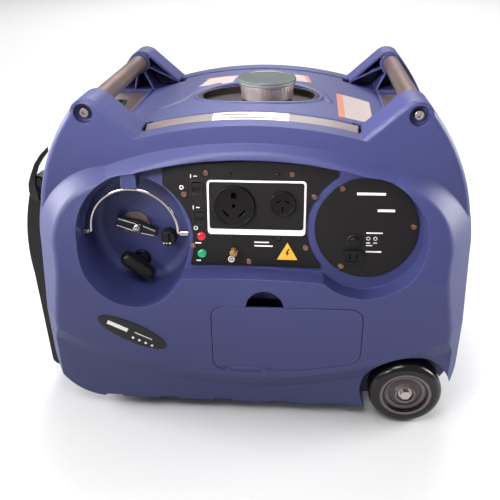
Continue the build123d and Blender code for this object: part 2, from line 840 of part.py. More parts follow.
def round_socket(place, radius, rim, depth, rise):
    """Round outlet: flange on the panel, raised ring, body behind."""
    with BuildPart() as socket:
        with BuildSketch(on_panel(-depth)):
            with Locations(place):
                Circle(radius - rim)
        extrude(amount=depth + face)
        with BuildSketch(on_panel(face)):
            with Locations(place):
                Circle(radius)
        extrude(amount=rise, taper=12)
        with BuildSketch(on_panel(face + rise)):
            with Locations(place):
                Circle(radius - 3.2)
        extrude(amount=-1.6, mode=Mode.SUBTRACT)
    return socket.part


with BuildPart() as rv_socket:
    add(round_socket(rv_at, rv_radius, 4.0, 26.0, 5.0))
    with BuildSketch(on_panel(face + 6)):
        with Locations((rv_at[0], rv_at[1] + 13)):
            Rectangle(8, 4.5)
            with Locations((0, 2.5)):
                Circle(4)
        for side in (-1, 1):
            with Locations(Location((rv_at[0] + side * 10.5, rv_at[1] - 9, 0), (0, 0, side * 45))):
                SlotOverall(11.5, 2.6)
        with Locations((rv_at[0], rv_at[1] + 1)):
            Circle(2.6)
    extrude(amount=-18, mode=Mode.SUBTRACT)
save(rv_socket, "rv_socket")

with BuildPart() as small_socket:
    add(round_socket(small_at, small_radius, 3.0, 24.0, 3.5))
    with BuildSketch(on_panel(face + 6)):
        with Locations((small_at[0], small_at[1] - 6.5)):
            Rectangle(1.9, 6.4)
        for side in (-1, 1):
            with Locations(Location((small_at[0] + side * 5.6, small_at[1] + 3, 0), (0, 0, side * 60))):
                Rectangle(1.9, 7)
    extrude(amount=-16, mode=Mode.SUBTRACT)
save(small_socket, "small_socket")

with BuildPart() as dc_socket:
    with BuildSketch(on_panel(-16)):
        with Locations(dc_socket_at):
            RectangleRounded(22, 14, 2)
    extrude(amount=16 + face)
    with BuildSketch(on_panel(face)):
        with Locations(dc_socket_at):
            RectangleRounded(27, 18, 6)
    extrude(amount=4.5)
    with BuildSketch(on_panel(face + 4.5)):
        with Locations(dc_socket_at):
            RectangleRounded(22, 13, 4)
    extrude(amount=-2.5, mode=Mode.SUBTRACT)
    with BuildSketch(on_panel(face + 2)):
        with Locations((dc_socket_at[0] - 4.5, dc_socket_at[1]), (dc_socket_at[0] + 4.5, dc_socket_at[1])):
            Rectangle(1.8, 7)
    extrude(amount=-12, mode=Mode.SUBTRACT)
save(dc_socket, "dc_socket")

rocker_gap = 0.35
rocker_pin_radius = 1.2     # stub pins of a rocker, on its axis
rocker_pin_length = 0.25

with BuildPart() as rocker_frames:
    with BuildSketch(on_panel(-12)):
        with Locations(engine_rocker_at, econ_rocker_at):
            Rectangle(rocker_width + 2, rocker_height + 2)
    extrude(amount=12 + face)
    with BuildSketch(on_panel(face)):
        with Locations(engine_rocker_at, econ_rocker_at):
            RectangleRounded(rocker_width + 4, rocker_height + 4, 1.5)
    extrude(amount=1.4)
    with BuildSketch(on_panel(-8)):
        with Locations(engine_rocker_at, econ_rocker_at):
            Rectangle(rocker_width, rocker_height)
    extrude(amount=20, mode=Mode.SUBTRACT)
save(rocker_frames, "rocker_frames")


def rocker(place):
    """See-saw button, pivoted about X just inside its frame."""
    pivot = on_panel(face - 2)
    with BuildPart() as button:
        corner = (place[0] - rocker_width / 2 + rocker_gap, place[1], 0)
        section = Plane(origin=pivot.from_local_coords(corner), x_dir=pivot.y_dir, z_dir=pivot.x_dir)
        with BuildSketch(section):
            half = rocker_height / 2 - rocker_gap - 0.8
            with BuildLine():
                top = ThreePointArc((-half, 4.4), (0, 3.0), (half, 4.4))
                Polyline(top @ 1, (half, -1.0), (0, -4.5), (-half, -1.0), top @ 0)
            make_face()
        extrude(amount=rocker_width - 2 * rocker_gap)
        with BuildSketch(section.offset(-rocker_pin_length)):
            Circle(rocker_pin_radius)
        extrude(amount=rocker_width - 2 * rocker_gap + 2 * rocker_pin_length)
    return button


engine_rocker = rocker(engine_rocker_at)
save(engine_rocker, "engine_rocker")
econ_rocker = rocker(econ_rocker_at)
save(econ_rocker, "econ_rocker")

for lamp_name, lamp_at in lamps_at.items():
    with BuildPart() as lamp:
        with BuildSketch(on_panel(-14)):
            with Locations(lamp_at):
                Circle(lamp_radius - 1.5)
        extrude(amount=14 + face)
        with BuildSketch(on_panel(face)):
            with Locations(lamp_at):
                Circle(lamp_radius)
        extrude(amount=3.5)
        fillet(lamp.faces().sort_by(panel_out)[-1].edges(), radius=2.6)
    save(lamp, lamp_name)

with BuildPart() as earth_terminal:
    with BuildSketch(on_panel(-10)):
        with Locations(earth_at):
            Circle(3)
    extrude(amount=10 + face + 14)
    with BuildSketch(on_panel(face)):
        with Locations(earth_at):
            RegularPolygon(5.5, 6)
    extrude(amount=4)
    with BuildSketch(on_panel(face + 7)):
        with Locations(earth_at):
            Circle(5)
    extrude(amount=4)
save(earth_terminal, "earth_terminal")

with BuildPart() as breaker_collar:
    with BuildSketch(on_panel(-14)):
        with Locations(breaker_at):
            Circle(breaker_radius - 1.5)
    extrude(amount=14 + face)
    with BuildSketch(on_panel(face)):
        with Locations(breaker_at):
            Circle(breaker_radius)
    extrude(amount=3, taper=10)
    with BuildSketch(on_panel(-10)):
        with Locations(breaker_at):
            Circle(button_radius + 0.3)
    extrude(amount=40, mode=Mode.SUBTRACT)
save(breaker_collar, "breaker_collar")

with BuildPart() as breaker_button:
    with BuildSketch(on_panel(-6)):
        with Locations(breaker_at):
            Circle(button_radius)
    extrude(amount=6 + face + 5.5)
    fillet(breaker_button.faces().sort_by(panel_out)[-1].edges(), radius=1.2)
save(breaker_button, "breaker_button")

with BuildPart() as panel_screws:
    with BuildSketch(on_panel(-3.8)):
        with Locations(*panel_screws_at, *dc_screws_at):
            Circle(1.8)
    extrude(amount=3.8 + face)
    with BuildSketch(on_panel(face)):
        with Locations(*panel_screws_at, *dc_screws_at):
            Circle(panel_screw_radius)
    extrude(amount=2.2, taper=25)
    with BuildSketch(on_panel(face + 2.3)):
        with Locations(*panel_screws_at, *dc_screws_at):
            Rectangle(3.6, 0.8)
            Rectangle(0.8, 3.6)
    extrude(amount=-1.2, mode=Mode.SUBTRACT)
save(panel_screws, "panel_screws")


# ---------------------------------------------------------------- round bay at the left
plate_at = (-163.0, 268.0)
plate_radius = 20.0
lever_pivot = (-159.0, 269.5)
lever_y = bay_floor_y - 8.0
lever_thick = 6.5
lever_turn = -18.0          # degrees, the lever at rest points down to the right
knob_at = (-116.0, 253.0)
knob_radius = 11.0
grip_at = (-160.0, 214.0)
grip_turn = -38.0
grip_length = 54.0

with BuildPart() as fuel_valve_plate:
    with BuildSketch(facing(bay_floor_y)):
        with Locations(plate_at):
            Circle(plate_radius)
            with Locations((0, -plate_radius + 4)):
                Rectangle(2 * plate_radius, 8, mode=Mode.SUBTRACT)
        with Locations(lever_pivot):
            Circle(4 + running_clearance, mode=Mode.SUBTRACT)
    extrude(amount=3)
save(fuel_valve_plate, "fuel_valve_plate")

with BuildPart() as fuel_valve_lever:
    lever_plane = Plane(origin=(lever_pivot[0], lever_y, lever_pivot[1]),
                        x_dir=(cos(radians(lever_turn)), 0, sin(radians(lever_turn))), z_dir=(0, -1, 0))
    with BuildSketch(lever_plane):
        Circle(9)
        with BuildLine():
            Polyline((-30, 6.5), (6, 7.5), (29, 5.0), (29, -5.0), (6, -7.5), (-30, -6.5), close=True)
        make_face()
    extrude(amount=lever_thick)
    fillet(fuel_valve_lever.faces().sort_by(Axis.Y)[0].edges(), radius=1.5)
    with BuildSketch(facing(bay_floor_y - 0.3)):
        with Locations(lever_pivot):
            Circle(4)
    extrude(amount=10)
    with BuildSketch(facing(lever_y - lever_thick)):
        with Locations(lever_pivot):
            Circle(5)
    extrude(amount=2.5, taper=20)
save(fuel_valve_lever, "fuel_valve_lever")

with BuildPart() as choke_knob:
    with BuildSketch(facing(bay_floor_y - 0.5)):
        with Locations(knob_at):
            Circle(knob_radius)
    extrude(amount=16)
    fillet(choke_knob.faces().sort_by(Axis.Y)[0].edges(), radius=2)
    with BuildSketch(facing(bay_floor_y - 14.5)):
        with Locations(knob_at):
            Rectangle(3, 2 * knob_radius - 3)
    extrude(amount=6)
save(choke_knob, "choke_knob")

grip_plane = Plane(origin=(grip_at[0], bay_floor_y - 24, grip_at[1]),
                   x_dir=(cos(radians(grip_turn)), 0, sin(radians(grip_turn))), z_dir=(0, -1, 0))
with BuildPart() as recoil_grip:
    with BuildSketch(grip_plane.offset(-9)):
        SlotOverall(grip_length, 19)
    extrude(amount=19)
    fillet(recoil_grip.faces().sort_by(Axis.Y)[0].edges(), radius=7)
    fillet(recoil_grip.faces().sort_by(Axis.Y)[-1].edges(), radius=5)
    with BuildSketch(facing(bay_floor_y - 4.5)):
        with Locations(grip_at):
            Circle(7)
    extrude(amount=14)
save(recoil_grip, "recoil_grip")

bail_end = 7.0              # straight ends that turn in the brackets
bail_bracket_gap = 1.0
with BuildPart() as bay_bail:
    with BuildLine(facing(bail_y)):
        left_pin = Line((bail_x - bail_radius - bail_end, bail_z), (bail_x - bail_radius - bail_bend, bail_z))
        left_bend = RadiusArc(left_pin @ 1, (bail_x - bail_radius, bail_z + bail_bend), -bail_bend)
        hoop = ThreePointArc(left_bend @ 1, (bail_x, bail_z + bail_bend + bail_radius),
                             (bail_x + bail_radius, bail_z + bail_bend))
        right_bend = RadiusArc(hoop @ 1, (bail_x + bail_radius + bail_bend, bail_z), -bail_bend)
        Line(right_bend @ 1, (bail_x + bail_radius + bail_end, bail_z))
    with BuildSketch(Plane(origin=left_pin @ 0, x_dir=(0, 1, 0), z_dir=(1, 0, 0))):
        Circle(bail_wire / 2)
    sweep()
save(bay_bail, "bay_bail")

with BuildPart() as bail_brackets:
    bay_chord = bay_half_width * sqrt(1 - ((bail_z - bay_z) / bay_half_height)**2)
    for side in (-1, 1):
        inner_x = bail_x + side * (bail_radius + bail_bend + bail_bracket_gap)
        wall_x = bay_x + side * (bay_chord - 0.6)
        with BuildSketch(Plane(origin=(inner_x, bail_y, bail_z), x_dir=(0, 1, 0), z_dir=(side, 0, 0))):
            Circle(4.5)
            Circle(bail_wire / 2 + running_clearance, mode=Mode.SUBTRACT)
        extrude(amount=side * (wall_x - inner_x))
save(bail_brackets, "bail_brackets")

# ---------------------------------------------------------------- fuel filler
cap_top_z = 443.0
cap_low_z = 416.0
cap_lid_thick = 6.5
cap_skirt_radius = 37.5
neck_foot_z = 372.0
with BuildPart() as fuel_cap:
    with BuildSketch(Plane.XY.offset(cap_low_z)):
        with Locations((cap_x, cap_y)):
            Circle(cap_skirt_radius)
    extrude(amount=cap_top_z - cap_low_z - 1)
    with BuildSketch(Plane.XY.offset(cap_top_z - cap_lid_thick)):
        with Locations((cap_x, cap_y)):
            Circle(cap_radius)
    extrude(amount=cap_lid_thick)
    fillet(fuel_cap.edges().group_by(Axis.Z)[-1], radius=2)
    fillet(fuel_cap.edges().group_by(Axis.Z)[0], radius=1.5)
    with BuildSketch(Plane.XY.offset(cap_low_z - 1)):
        with Locations((cap_x, cap_y)):
            Circle(neck_radius + running_clearance)
    extrude(amount=18, mode=Mode.SUBTRACT)
save(fuel_cap, "fuel_cap")

with BuildPart() as filler_neck:
    with BuildSketch(Plane.XY.offset(neck_foot_z)):
        with Locations((cap_x, cap_y)):
            Circle(neck_radius)
            Circle(neck_radius - 3, mode=Mode.SUBTRACT)
    extrude(amount=cap_low_z + 15 - neck_foot_z)
    with BuildSketch(Plane.XY.offset(cap_tray_floor + 3.1)):
        with Locations((cap_x, cap_y)):
            Circle(neck_radius + 6)
            Circle(neck_radius - 3, mode=Mode.SUBTRACT)
    extrude(amount=3)
save(filler_neck, "filler_neck")

# ---------------------------------------------------------------- carry tubes and ear bolts
tube_end = ear_front - bolt_recess_depth - wall - 1.0
with BuildPart() as carry_tubes:
    with BuildSketch(facing(tube_end)):
        with Locations((-tube_x, tube_z), (tube_x, tube_z)):
            Circle(tube_diameter / 2)
            Circle(tube_diameter / 2 - 2.5, mode=Mode.SUBTRACT)
    extrude(amount=2 * tube_end)
save(carry_tubes, "carry_tubes")

bolt_head_radius = 6.8
with BuildPart() as ear_bolts:
    for end in (-1, 1):
        head_plane = facing(end * (ear_front - bolt_recess_depth))
        with BuildSketch(head_plane):
            with Locations((-tube_x, tube_z), (tube_x, tube_z)):
                Circle(bolt_head_radius)
        extrude(amount=-end * 6, taper=12)
        with BuildSketch(head_plane):
            with Locations((-tube_x, tube_z), (tube_x, tube_z)):
                Circle(4)
        extrude(amount=end * 30)
        with BuildSketch(facing(end * (ear_front - bolt_recess_depth + 6.1))):
            with Locations((-tube_x, tube_z), (tube_x, tube_z)):
                RegularPolygon(3.2, 6)
        extrude(amount=end * 3, mode=Mode.SUBTRACT)
save(ear_bolts, "ear_bolts")

# ---------------------------------------------------------------- folding tow handle
tow_pin_head = 6.0
tow_end_radius = 13.0
tow_top_radius = 9.0
arm_inner_x = -half_width - tow_gap


def tow_arm_outline():
    """Side view of one arm: round at the pin, bowed out, round at the grip."""
    with BuildSketch() as outline:
        with BuildLine():
            arm_top = (tow_pivot_x - tow_top_radius + 0.4, tow_pivot_z + 2)
            outer = ThreePointArc(arm_top, (-tow_reach + 6.5, 285), (-tow_reach, 190))
            run = Line(outer @ 1, (tow_grip_x - tow_end_radius, tow_grip_z + 4))
            foot = Line(run @ 1, (tow_grip_x + tow_end_radius - 0.5, tow_grip_z + 4))
            inner_low = Line(foot @ 1, (arm_inner_x, 110))
            inner = Line(inner_low @ 1, (arm_inner_x, 300))
            Line(inner @ 1, outer @ 0)
        make_face()
        with Locations((tow_pivot_x, tow_pivot_z)):
            Circle(tow_top_radius)
        with Locations((tow_grip_x, tow_grip_z)):
            Circle(tow_end_radius)
    return outline.sketch


with BuildPart() as tow_frame:
    for end in (-1, 1):
        with BuildSketch(facing(end * tow_arm_y)):
            add(tow_arm_outline())
            with Locations((tow_pivot_x, tow_pivot_z)):
                Circle(tow_pin_radius + running_clearance, mode=Mode.SUBTRACT)
        extrude(amount=-end * tow_arm_thick)
    with BuildSketch(facing(tow_arm_y)):
        with Locations((tow_grip_x, tow_grip_z)):
            Circle(9)
    extrude(amount=2 * tow_arm_y)
save(tow_frame, "tow_frame")

grip_half = 110.0
with BuildPart() as tow_grip:
    with BuildSketch(facing(grip_half)):
        with Locations((tow_grip_x, tow_grip_z)):
            Circle(12.5)
            Circle(9 + running_clearance, mode=Mode.SUBTRACT)
    extrude(amount=2 * grip_half)
    fillet(tow_grip.edges().filter_by(GeomType.CIRCLE).sort_by(SortBy.RADIUS)[-2:], radius=2)
save(tow_grip, "tow_grip")

with BuildPart() as tow_pins:
    for end in (-1, 1):
        with BuildSketch(facing(end * (tow_lug_y - tow_lug_thick))):
            with Locations((tow_pivot_x, tow_pivot_z)):
                Circle(tow_pin_radius)
        extrude(amount=-end * (tow_lug_thick + 0.5 + tow_arm_thick + 0.5))
        with BuildSketch(facing(end * (tow_arm_y + tow_arm_thick + 0.4))):
            with Locations((tow_pivot_x, tow_pivot_z)):
                Circle(tow_pin_head)
        extrude(amount=-end * 3)
save(tow_pins, "tow_pins")

# ---------------------------------------------------------------- wheels, axle and feet
hub_radius = 36.0
hub_dish = 6.0
axle_z = wheel_diameter / 2
axle_end = wheel_reach - 6.5
for end, wheel_end in ((-1, "front"), (1, "rear")):
    wheel_plane = Plane(origin=(wheel_x, end * (wheel_reach - wheel_width), axle_z), x_dir=(1, 0, 0),
                        z_dir=(0, end, 0))
    with BuildPart() as tyre:
        with BuildSketch(wheel_plane):
            Circle(wheel_diameter / 2)
            Circle(hub_radius + 0.02, mode=Mode.SUBTRACT)
        extrude(amount=wheel_width)
        fillet(tyre.edges().filter_by(GeomType.CIRCLE).sort_by(SortBy.RADIUS)[-2:], radius=11)
    save(tyre, f"{wheel_end}_tyre")
    with BuildPart() as hub:
        with BuildSketch(wheel_plane):
            Circle(hub_radius)
        extrude(amount=wheel_width - 1)
        with BuildSketch(wheel_plane.offset(wheel_width - 1)):
            Circle(hub_radius - 4)
            Circle(14, mode=Mode.SUBTRACT)
        extrude(amount=-hub_dish, taper=20, mode=Mode.SUBTRACT)
        with BuildSketch(wheel_plane):
            Circle(hub_radius - 4)
            Circle(14, mode=Mode.SUBTRACT)
        extrude(amount=hub_dish, mode=Mode.SUBTRACT)
        with BuildSketch(wheel_plane):
            Circle(axle_diameter / 2 + running_clearance)
        extrude(amount=wheel_width, mode=Mode.SUBTRACT)
        with BuildSketch(wheel_plane.offset(wheel_width - 1 - hub_dish)):
            Circle(12)
        extrude(amount=hub_dish + 1, mode=Mode.SUBTRACT)
    save(hub, f"{wheel_end}_hub")

with BuildPart() as wheel_axle:
    with BuildSketch(facing(axle_end)):
        with Locations((wheel_x, axle_z)):
            Circle(axle_diameter / 2)
    extrude(amount=2 * axle_end)
save(wheel_axle, "wheel_axle")

with BuildPart() as wheel_bolts:
    for end in (-1, 1):
        with BuildSketch(facing(end * axle_end)):
            with Locations((wheel_x, axle_z)):
                Circle(9.5)
        extrude(amount=-end * 1.5)
        with BuildSketch(facing(end * (axle_end + 1.5))):
            with Locations((wheel_x, axle_z)):
                RegularPolygon(7.5, 6)
        extrude(amount=-end * 5)
save(wheel_bolts, "wheel_bolts")

foot_x = -188.0
foot_y = 150.0
with BuildPart() as rubber_feet:
    with BuildSketch(Plane.XY):
        with Locations((foot_x, -foot_y), (foot_x, foot_y)):
            Circle(20)
    extrude(amount=case_bottom - 0.1, taper=-4)
    fillet(rubber_feet.edges().group_by(Axis.Z)[0], radius=2)
save(rubber_feet, "rubber_feet")

# ---------------------------------------------------------------- service compartment door
door_thick = 3.0
hinge_y = -front_reach + door_gap / 2     # so shallow that the door's lower edge clears the sill
hinge_z = door_low + 5.0
hinge_pin_radius = 0.8
hinge_barrel_radius = 1.5
hinge_left = door_left + 26.0
hinge_span = 40.0
knuckle = 8.0               # fixed knuckle at each end of the barrel
knuckle_gap = 0.6
seat_gap = 0.02            # the fixed knuckles stand on the sill


def across(x):
    """Plane that looks along +X, with its first axis towards the back."""
    return Plane(origin=(x, hinge_y, hinge_z), x_dir=(0, 1, 0), z_dir=(1, 0, 0))


with BuildPart() as maintenance_door:
    with BuildSketch(facing(-front_reach + door_thick)):
        add(door_outline(door_gap))
    extrude(amount=door_thick)
    with BuildSketch(facing(-front_reach + 10)):
        with Locations((thumb_x, door_top - 10)):
            Rectangle(34, 5)
    extrude(amount=10 - door_thick)
    for knuckle_x in (hinge_left - knuckle - 2 * knuckle_gap, hinge_left + hinge_span):
        with BuildSketch(facing(-front_reach + 10)):
            with Locations((knuckle_x, door_low - 5)):
                Rectangle(knuckle + 2 * knuckle_gap, hinge_z + 2.2 - door_low + 5,
                          align=(Align.MIN, Align.MIN))
        extrude(amount=20, mode=Mode.SUBTRACT)
    with BuildSketch(across(hinge_left)):
        Circle(hinge_barrel_radius)
    extrude(amount=hinge_span)
    with BuildSketch(across(hinge_left - 20)):
        Circle(hinge_pin_radius + running_clearance)
    extrude(amount=hinge_span + 40, mode=Mode.SUBTRACT)
save(maintenance_door, "maintenance_door")

with BuildPart() as door_hinge_pin:
    with BuildSketch(across(hinge_left - knuckle - knuckle_gap)):
        Circle(hinge_pin_radius)
    extrude(amount=hinge_span + 2 * knuckle + 2 * knuckle_gap)
    for knuckle_x in (hinge_left - knuckle - knuckle_gap, hinge_left + hinge_span + knuckle_gap):
        with BuildSketch(across(knuckle_x)):
            Circle(hinge_barrel_radius)
            with Locations((1.4, 0)):
                Rectangle(4, hinge_z - door_low + 2, align=(Align.CENTER, Align.MAX))
        extrude(amount=knuckle)
    with BuildSketch(facing(-front_reach + 20)):
        add(door_outline(seat_gap))
    extrude(amount=20, mode=Mode.INTERSECT)
save(door_hinge_pin, "door_hinge_pin")

# ---------------------------------------------------------------- inside the case
tray_sheet = 3.0
tray_z = case_bottom + wall + 1.0
engine_x = -150.0
crank_z = 165.0
engine_front_y = -60.0
engine_rear_y = 60.0
mount_height = 14.0         # cast feet of the engine
crank_radius = 12.0

with BuildPart() as base_tray:
    with BuildSketch(Plane.XY.offset(tray_z)):
        with Locations((-45, 0)):
            RectangleRounded(350, 340, 20)
    extrude(amount=22)
    with BuildSketch(Plane.XY.offset(tray_z + tray_sheet)):
        with Locations((-45, 0)):
            RectangleRounded(350 - 2 * tray_sheet, 340 - 2 * tray_sheet, 18)
    extrude(amount=22, mode=Mode.SUBTRACT)
    with BuildSketch(Plane.XY.offset(tray_z - 10)):
        with GridLocations(300, 60, 1, 4):
            SlotOverall(120, 8)
    extrude(amount=30, mode=Mode.SUBTRACT)
save(base_tray, "base_tray")

engine_low_z = tray_z + tray_sheet + mount_height
with BuildPart() as engine_block:
    with BuildSketch(facing(engine_rear_y)):
        with Locations((engine_x, (engine_low_z + crank_z + 45) / 2)):
            RectangleRounded(124, crank_z + 45 - engine_low_z, 16)
    extrude(amount=engine_rear_y - engine_front_y)
    with BuildSketch(Plane.XY.offset(tray_z + tray_sheet)):
        with Locations((engine_x, 0)):
            with GridLocations(90, 90, 2, 2):
                Circle(13)
    extrude(amount=mount_height + 2)
    with BuildSketch(facing(engine_rear_y + 5)):
        with Locations((engine_x, crank_z)):
            Circle(crank_radius + running_clearance)
    extrude(amount=engine_rear_y - engine_front_y + 10, mode=Mode.SUBTRACT)
save(engine_block, "engine_block")

with BuildPart() as cylinder:
    barrel = Plane(origin=(engine_x, 0, crank_z + 45.05), x_dir=(1, 0, 0), z_dir=(0, 0, 1))
    with BuildSketch(barrel):
        Circle(30)
    extrude(amount=78)
    for fin in range(9):
        with BuildSketch(barrel.offset(6 + fin * 8)):
            RectangleRounded(96, 92, 14)
        extrude(amount=2.5)
save(cylinder, "cylinder")

with BuildPart() as crankshaft:
    with BuildSketch(facing(engine_rear_y + 12)):
        with Locations((engine_x, crank_z)):
            Circle(crank_radius)
    extrude(amount=engine_rear_y + 12 - engine_front_y + 44)
save(crankshaft, "crankshaft")

with BuildPart() as alternator_stator:
    with BuildSketch(facing(engine_front_y)):
        with Locations((engine_x, crank_z)):
            Circle(58)
            Circle(15, mode=Mode.SUBTRACT)
    extrude(amount=8)
    with BuildSketch(facing(engine_front_y - 8)):
        with Locations((engine_x, crank_z)):
            with PolarLocations(44, 18):
                Rectangle(20, 9)
            Circle(38)
            Circle(22, mode=Mode.SUBTRACT)
    extrude(amount=14)
save(alternator_stator, "alternator_stator")

with BuildPart() as flywheel_fan:
    with BuildSketch(facing(engine_front_y - 26)):
        with Locations((engine_x, crank_z)):
            Circle(66)
            Circle(crank_radius + 0.02, mode=Mode.SUBTRACT)
    extrude(amount=6)
    with BuildSketch(facing(engine_front_y - 32)):
        with Locations((engine_x, crank_z)):
            with PolarLocations(50, 16):
                Rectangle(24, 3, rotation=25)
            Circle(38)
            Circle(crank_radius + 0.02, mode=Mode.SUBTRACT)
    extrude(amount=10)
save(flywheel_fan, "flywheel_fan")

housing_y = engine_front_y - 46
with BuildPart() as recoil_housing:
    with BuildSketch(facing(housing_y)):
        with Locations((engine_x, crank_z)):
            Circle(74)
    extrude(amount=22, taper=12)
    with BuildSketch(facing(housing_y)):
        with Locations((engine_x, crank_z)):
            Circle(70)
    extrude(amount=18, taper=12, mode=Mode.SUBTRACT)
    with BuildSketch(facing(housing_y - 16)):
        with Locations((engine_x, crank_z)):
            with PolarLocations(46, 12):
                SlotOverall(26, 6, rotation=0)
    extrude(amount=12, mode=Mode.SUBTRACT)
save(recoil_housing, "recoil_housing")

muffler_y = 84.0
exhaust_radius = 14.0
with BuildPart() as muffler:
    with BuildSketch(facing(muffler_y + 76)):
        with Locations((exhaust_x + 30, exhaust_z - 5)):
            RectangleRounded(150, 110, 30)
    extrude(amount=76)
    with BuildSketch(facing(front_reach - 12)):
        with Locations((exhaust_x, exhaust_z)):
            Circle(exhaust_radius)
    extrude(amount=front_reach - 12 - muffler_y - 70)
    with BuildSketch(facing(front_reach - 11)):
        with Locations((exhaust_x, exhaust_z)):
            Circle(exhaust_radius - 2)
    extrude(amount=50, mode=Mode.SUBTRACT)
save(muffler, "muffler")

with BuildPart() as exhaust_guard:
    with BuildSketch(facing(ear_front + 22)):
        with Locations((exhaust_x, exhaust_z)):
            Circle(exhaust_hole_radius - 0.4)
            Circle(exhaust_radius + 0.5, mode=Mode.SUBTRACT)
            with PolarLocations(22.2, 10):
                Circle(4, mode=Mode.SUBTRACT)
    extrude(amount=4)
save(exhaust_guard, "exhaust_guard")

with BuildPart() as carburettor:
    with BuildSketch(Plane.YZ.offset(engine_x + 50)):
        with Locations((0, crank_z + 85)):
            Circle(17)
    extrude(amount=45)
    with BuildSketch(Plane.XY.offset(crank_z + 48)):
        with Locations((engine_x + 72, 0)):
            Circle(20)
    extrude(amount=24)
save(carburettor, "carburettor")

with BuildPart() as air_cleaner:
    with BuildSketch(Plane.YZ.offset(engine_x + 95.2)):
        with Locations((0, crank_z + 85)):
            RectangleRounded(110, 80, 12)
    extrude(amount=48)
    fillet(air_cleaner.faces().sort_by(Axis.X)[-1].edges(), radius=6)
save(air_cleaner, "air_cleaner")

inverter_low_z = 135.0
with BuildPart() as inverter_module:
    with BuildSketch(Plane.XY.offset(inverter_low_z)):
        with Locations((130, 10)):
            RectangleRounded(150, 190, 6)
    extrude(amount=60)
    with BuildSketch(Plane.XY.offset(inverter_low_z + 60)):
        with Locations((130, 10)):
            with GridLocations(10, 1, 15, 1):
                Rectangle(3, 186)
    extrude(amount=35)
save(inverter_module, "inverter_module")

tank_low_z = 302.0
tank_half_y = 100.0
with BuildPart() as fuel_tank:
    with BuildSketch(Plane.XY.offset(tank_low_z)):
        with Locations((cap_x, 0)):
            RectangleRounded(300, 2 * tank_half_y, 24)
    extrude(amount=neck_foot_z - tank_low_z)
    fillet(fuel_tank.edges().group_by(Axis.Z)[0], radius=10)
    fillet(fuel_tank.edges().group_by(Axis.Z)[-1], radius=10)
save(fuel_tank, "fuel_tank")
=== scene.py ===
# %% [markdown]
# # A portable inverter generator
# The closed case, the tow handle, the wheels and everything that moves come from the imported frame.
# This file gives them their finishes and adds the trim that is too fine for a CAD part: the plates,
# rivets, printed marks and beads. The moulded case sets the mood, so it comes first among the finishes.

# %% Load the frame
import bmesh
import bpy
from math import cos, pi, radians, sin, sqrt
from mathutils import Euler, Matrix, Vector
from mathutils.bvhtree import BVHTree
import json


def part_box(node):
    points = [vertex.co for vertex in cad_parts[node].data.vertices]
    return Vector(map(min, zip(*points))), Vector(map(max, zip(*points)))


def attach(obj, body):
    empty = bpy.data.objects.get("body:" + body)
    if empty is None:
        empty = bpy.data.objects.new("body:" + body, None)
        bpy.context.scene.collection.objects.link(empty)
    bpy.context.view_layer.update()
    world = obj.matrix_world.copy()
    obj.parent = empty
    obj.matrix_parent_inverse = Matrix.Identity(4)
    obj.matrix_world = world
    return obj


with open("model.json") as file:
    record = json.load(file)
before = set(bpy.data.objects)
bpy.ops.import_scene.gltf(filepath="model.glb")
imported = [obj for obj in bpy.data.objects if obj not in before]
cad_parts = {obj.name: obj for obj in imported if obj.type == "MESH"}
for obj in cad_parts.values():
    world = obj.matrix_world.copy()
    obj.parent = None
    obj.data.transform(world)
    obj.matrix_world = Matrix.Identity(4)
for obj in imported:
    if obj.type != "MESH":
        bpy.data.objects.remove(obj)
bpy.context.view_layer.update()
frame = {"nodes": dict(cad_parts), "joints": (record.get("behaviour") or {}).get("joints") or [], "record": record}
nodes = frame["nodes"]

# %% [markdown]
# ## Places that everything else is measured from
# The case is not in the middle of the object, because the folded tow handle sticks out at the left.
# The middle of the case comes from the box of its front shell. The control panel leans back, and the
# record's trailer outlet says where it is and which way it looks, so the panel's own axes start there.

# %% The case middle and the panel's axes
mm = 0.001
shell_low, shell_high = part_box("front_shell")
case_x = (shell_low.x + shell_high.x) / 2
outlet = next(m for m in frame["record"]["mounts"] if m["name"] == "trailer_outlet")
panel_out = Vector(outlet["axis"]).normalized()
panel_up = panel_out.cross(Vector((1, 0, 0)))
outlet_face = 8.1 * mm              # the outlet's face above the floor of the panel's recess
outlet_up = 89.3 * mm               # and its height up the panel
panel_face = 3.1 * mm               # the black plate's face above that floor
panel_foot = Vector(outlet["pos_m"]) - outlet_face * panel_out - outlet_up * panel_up
panel_foot.x = case_x
print("case middle x:", round(case_x, 4), "panel foot:", [round(v, 4) for v in panel_foot])


def on_panel(x, up, lift=0.0):
    """A point of the control panel, in millimetres from the case's middle and up from its foot."""
    return panel_foot + Vector((x * mm, 0, 0)) + panel_up * up * mm + panel_out * (panel_face + lift * mm)


# %% [markdown]
# ## Writing a finish
# A finish is a node tree. Drawn by hand it is a web of boxes, and in code it can read like a sum.
# Wire wraps one socket, so that `1 - wear * 0.4` adds the Math nodes that it needs. Finish starts from
# one principled shader and has one method that adds any other node.

# %% A socket that takes part in sums
class Wire:
    """One shader socket, usable in Python arithmetic."""

    def __init__(self, finish, socket):
        self.finish = finish
        self.socket = socket

    def maths(self, operation, first, second):
        return self.finish.node("ShaderNodeMath", {"operation": operation}, {0: first, 1: second})

    def __add__(self, other):
        return self.maths("ADD", self, other)

    def __radd__(self, other):
        return self.maths("ADD", other, self)

    def __sub__(self, other):
        return self.maths("SUBTRACT", self, other)

    def __rsub__(self, other):
        return self.maths("SUBTRACT", other, self)

    def __mul__(self, other):
        return self.maths("MULTIPLY", self, other)

    def __rmul__(self, other):
        return self.maths("MULTIPLY", other, self)

    def __gt__(self, other):
        return self.maths("GREATER_THAN", self, other)


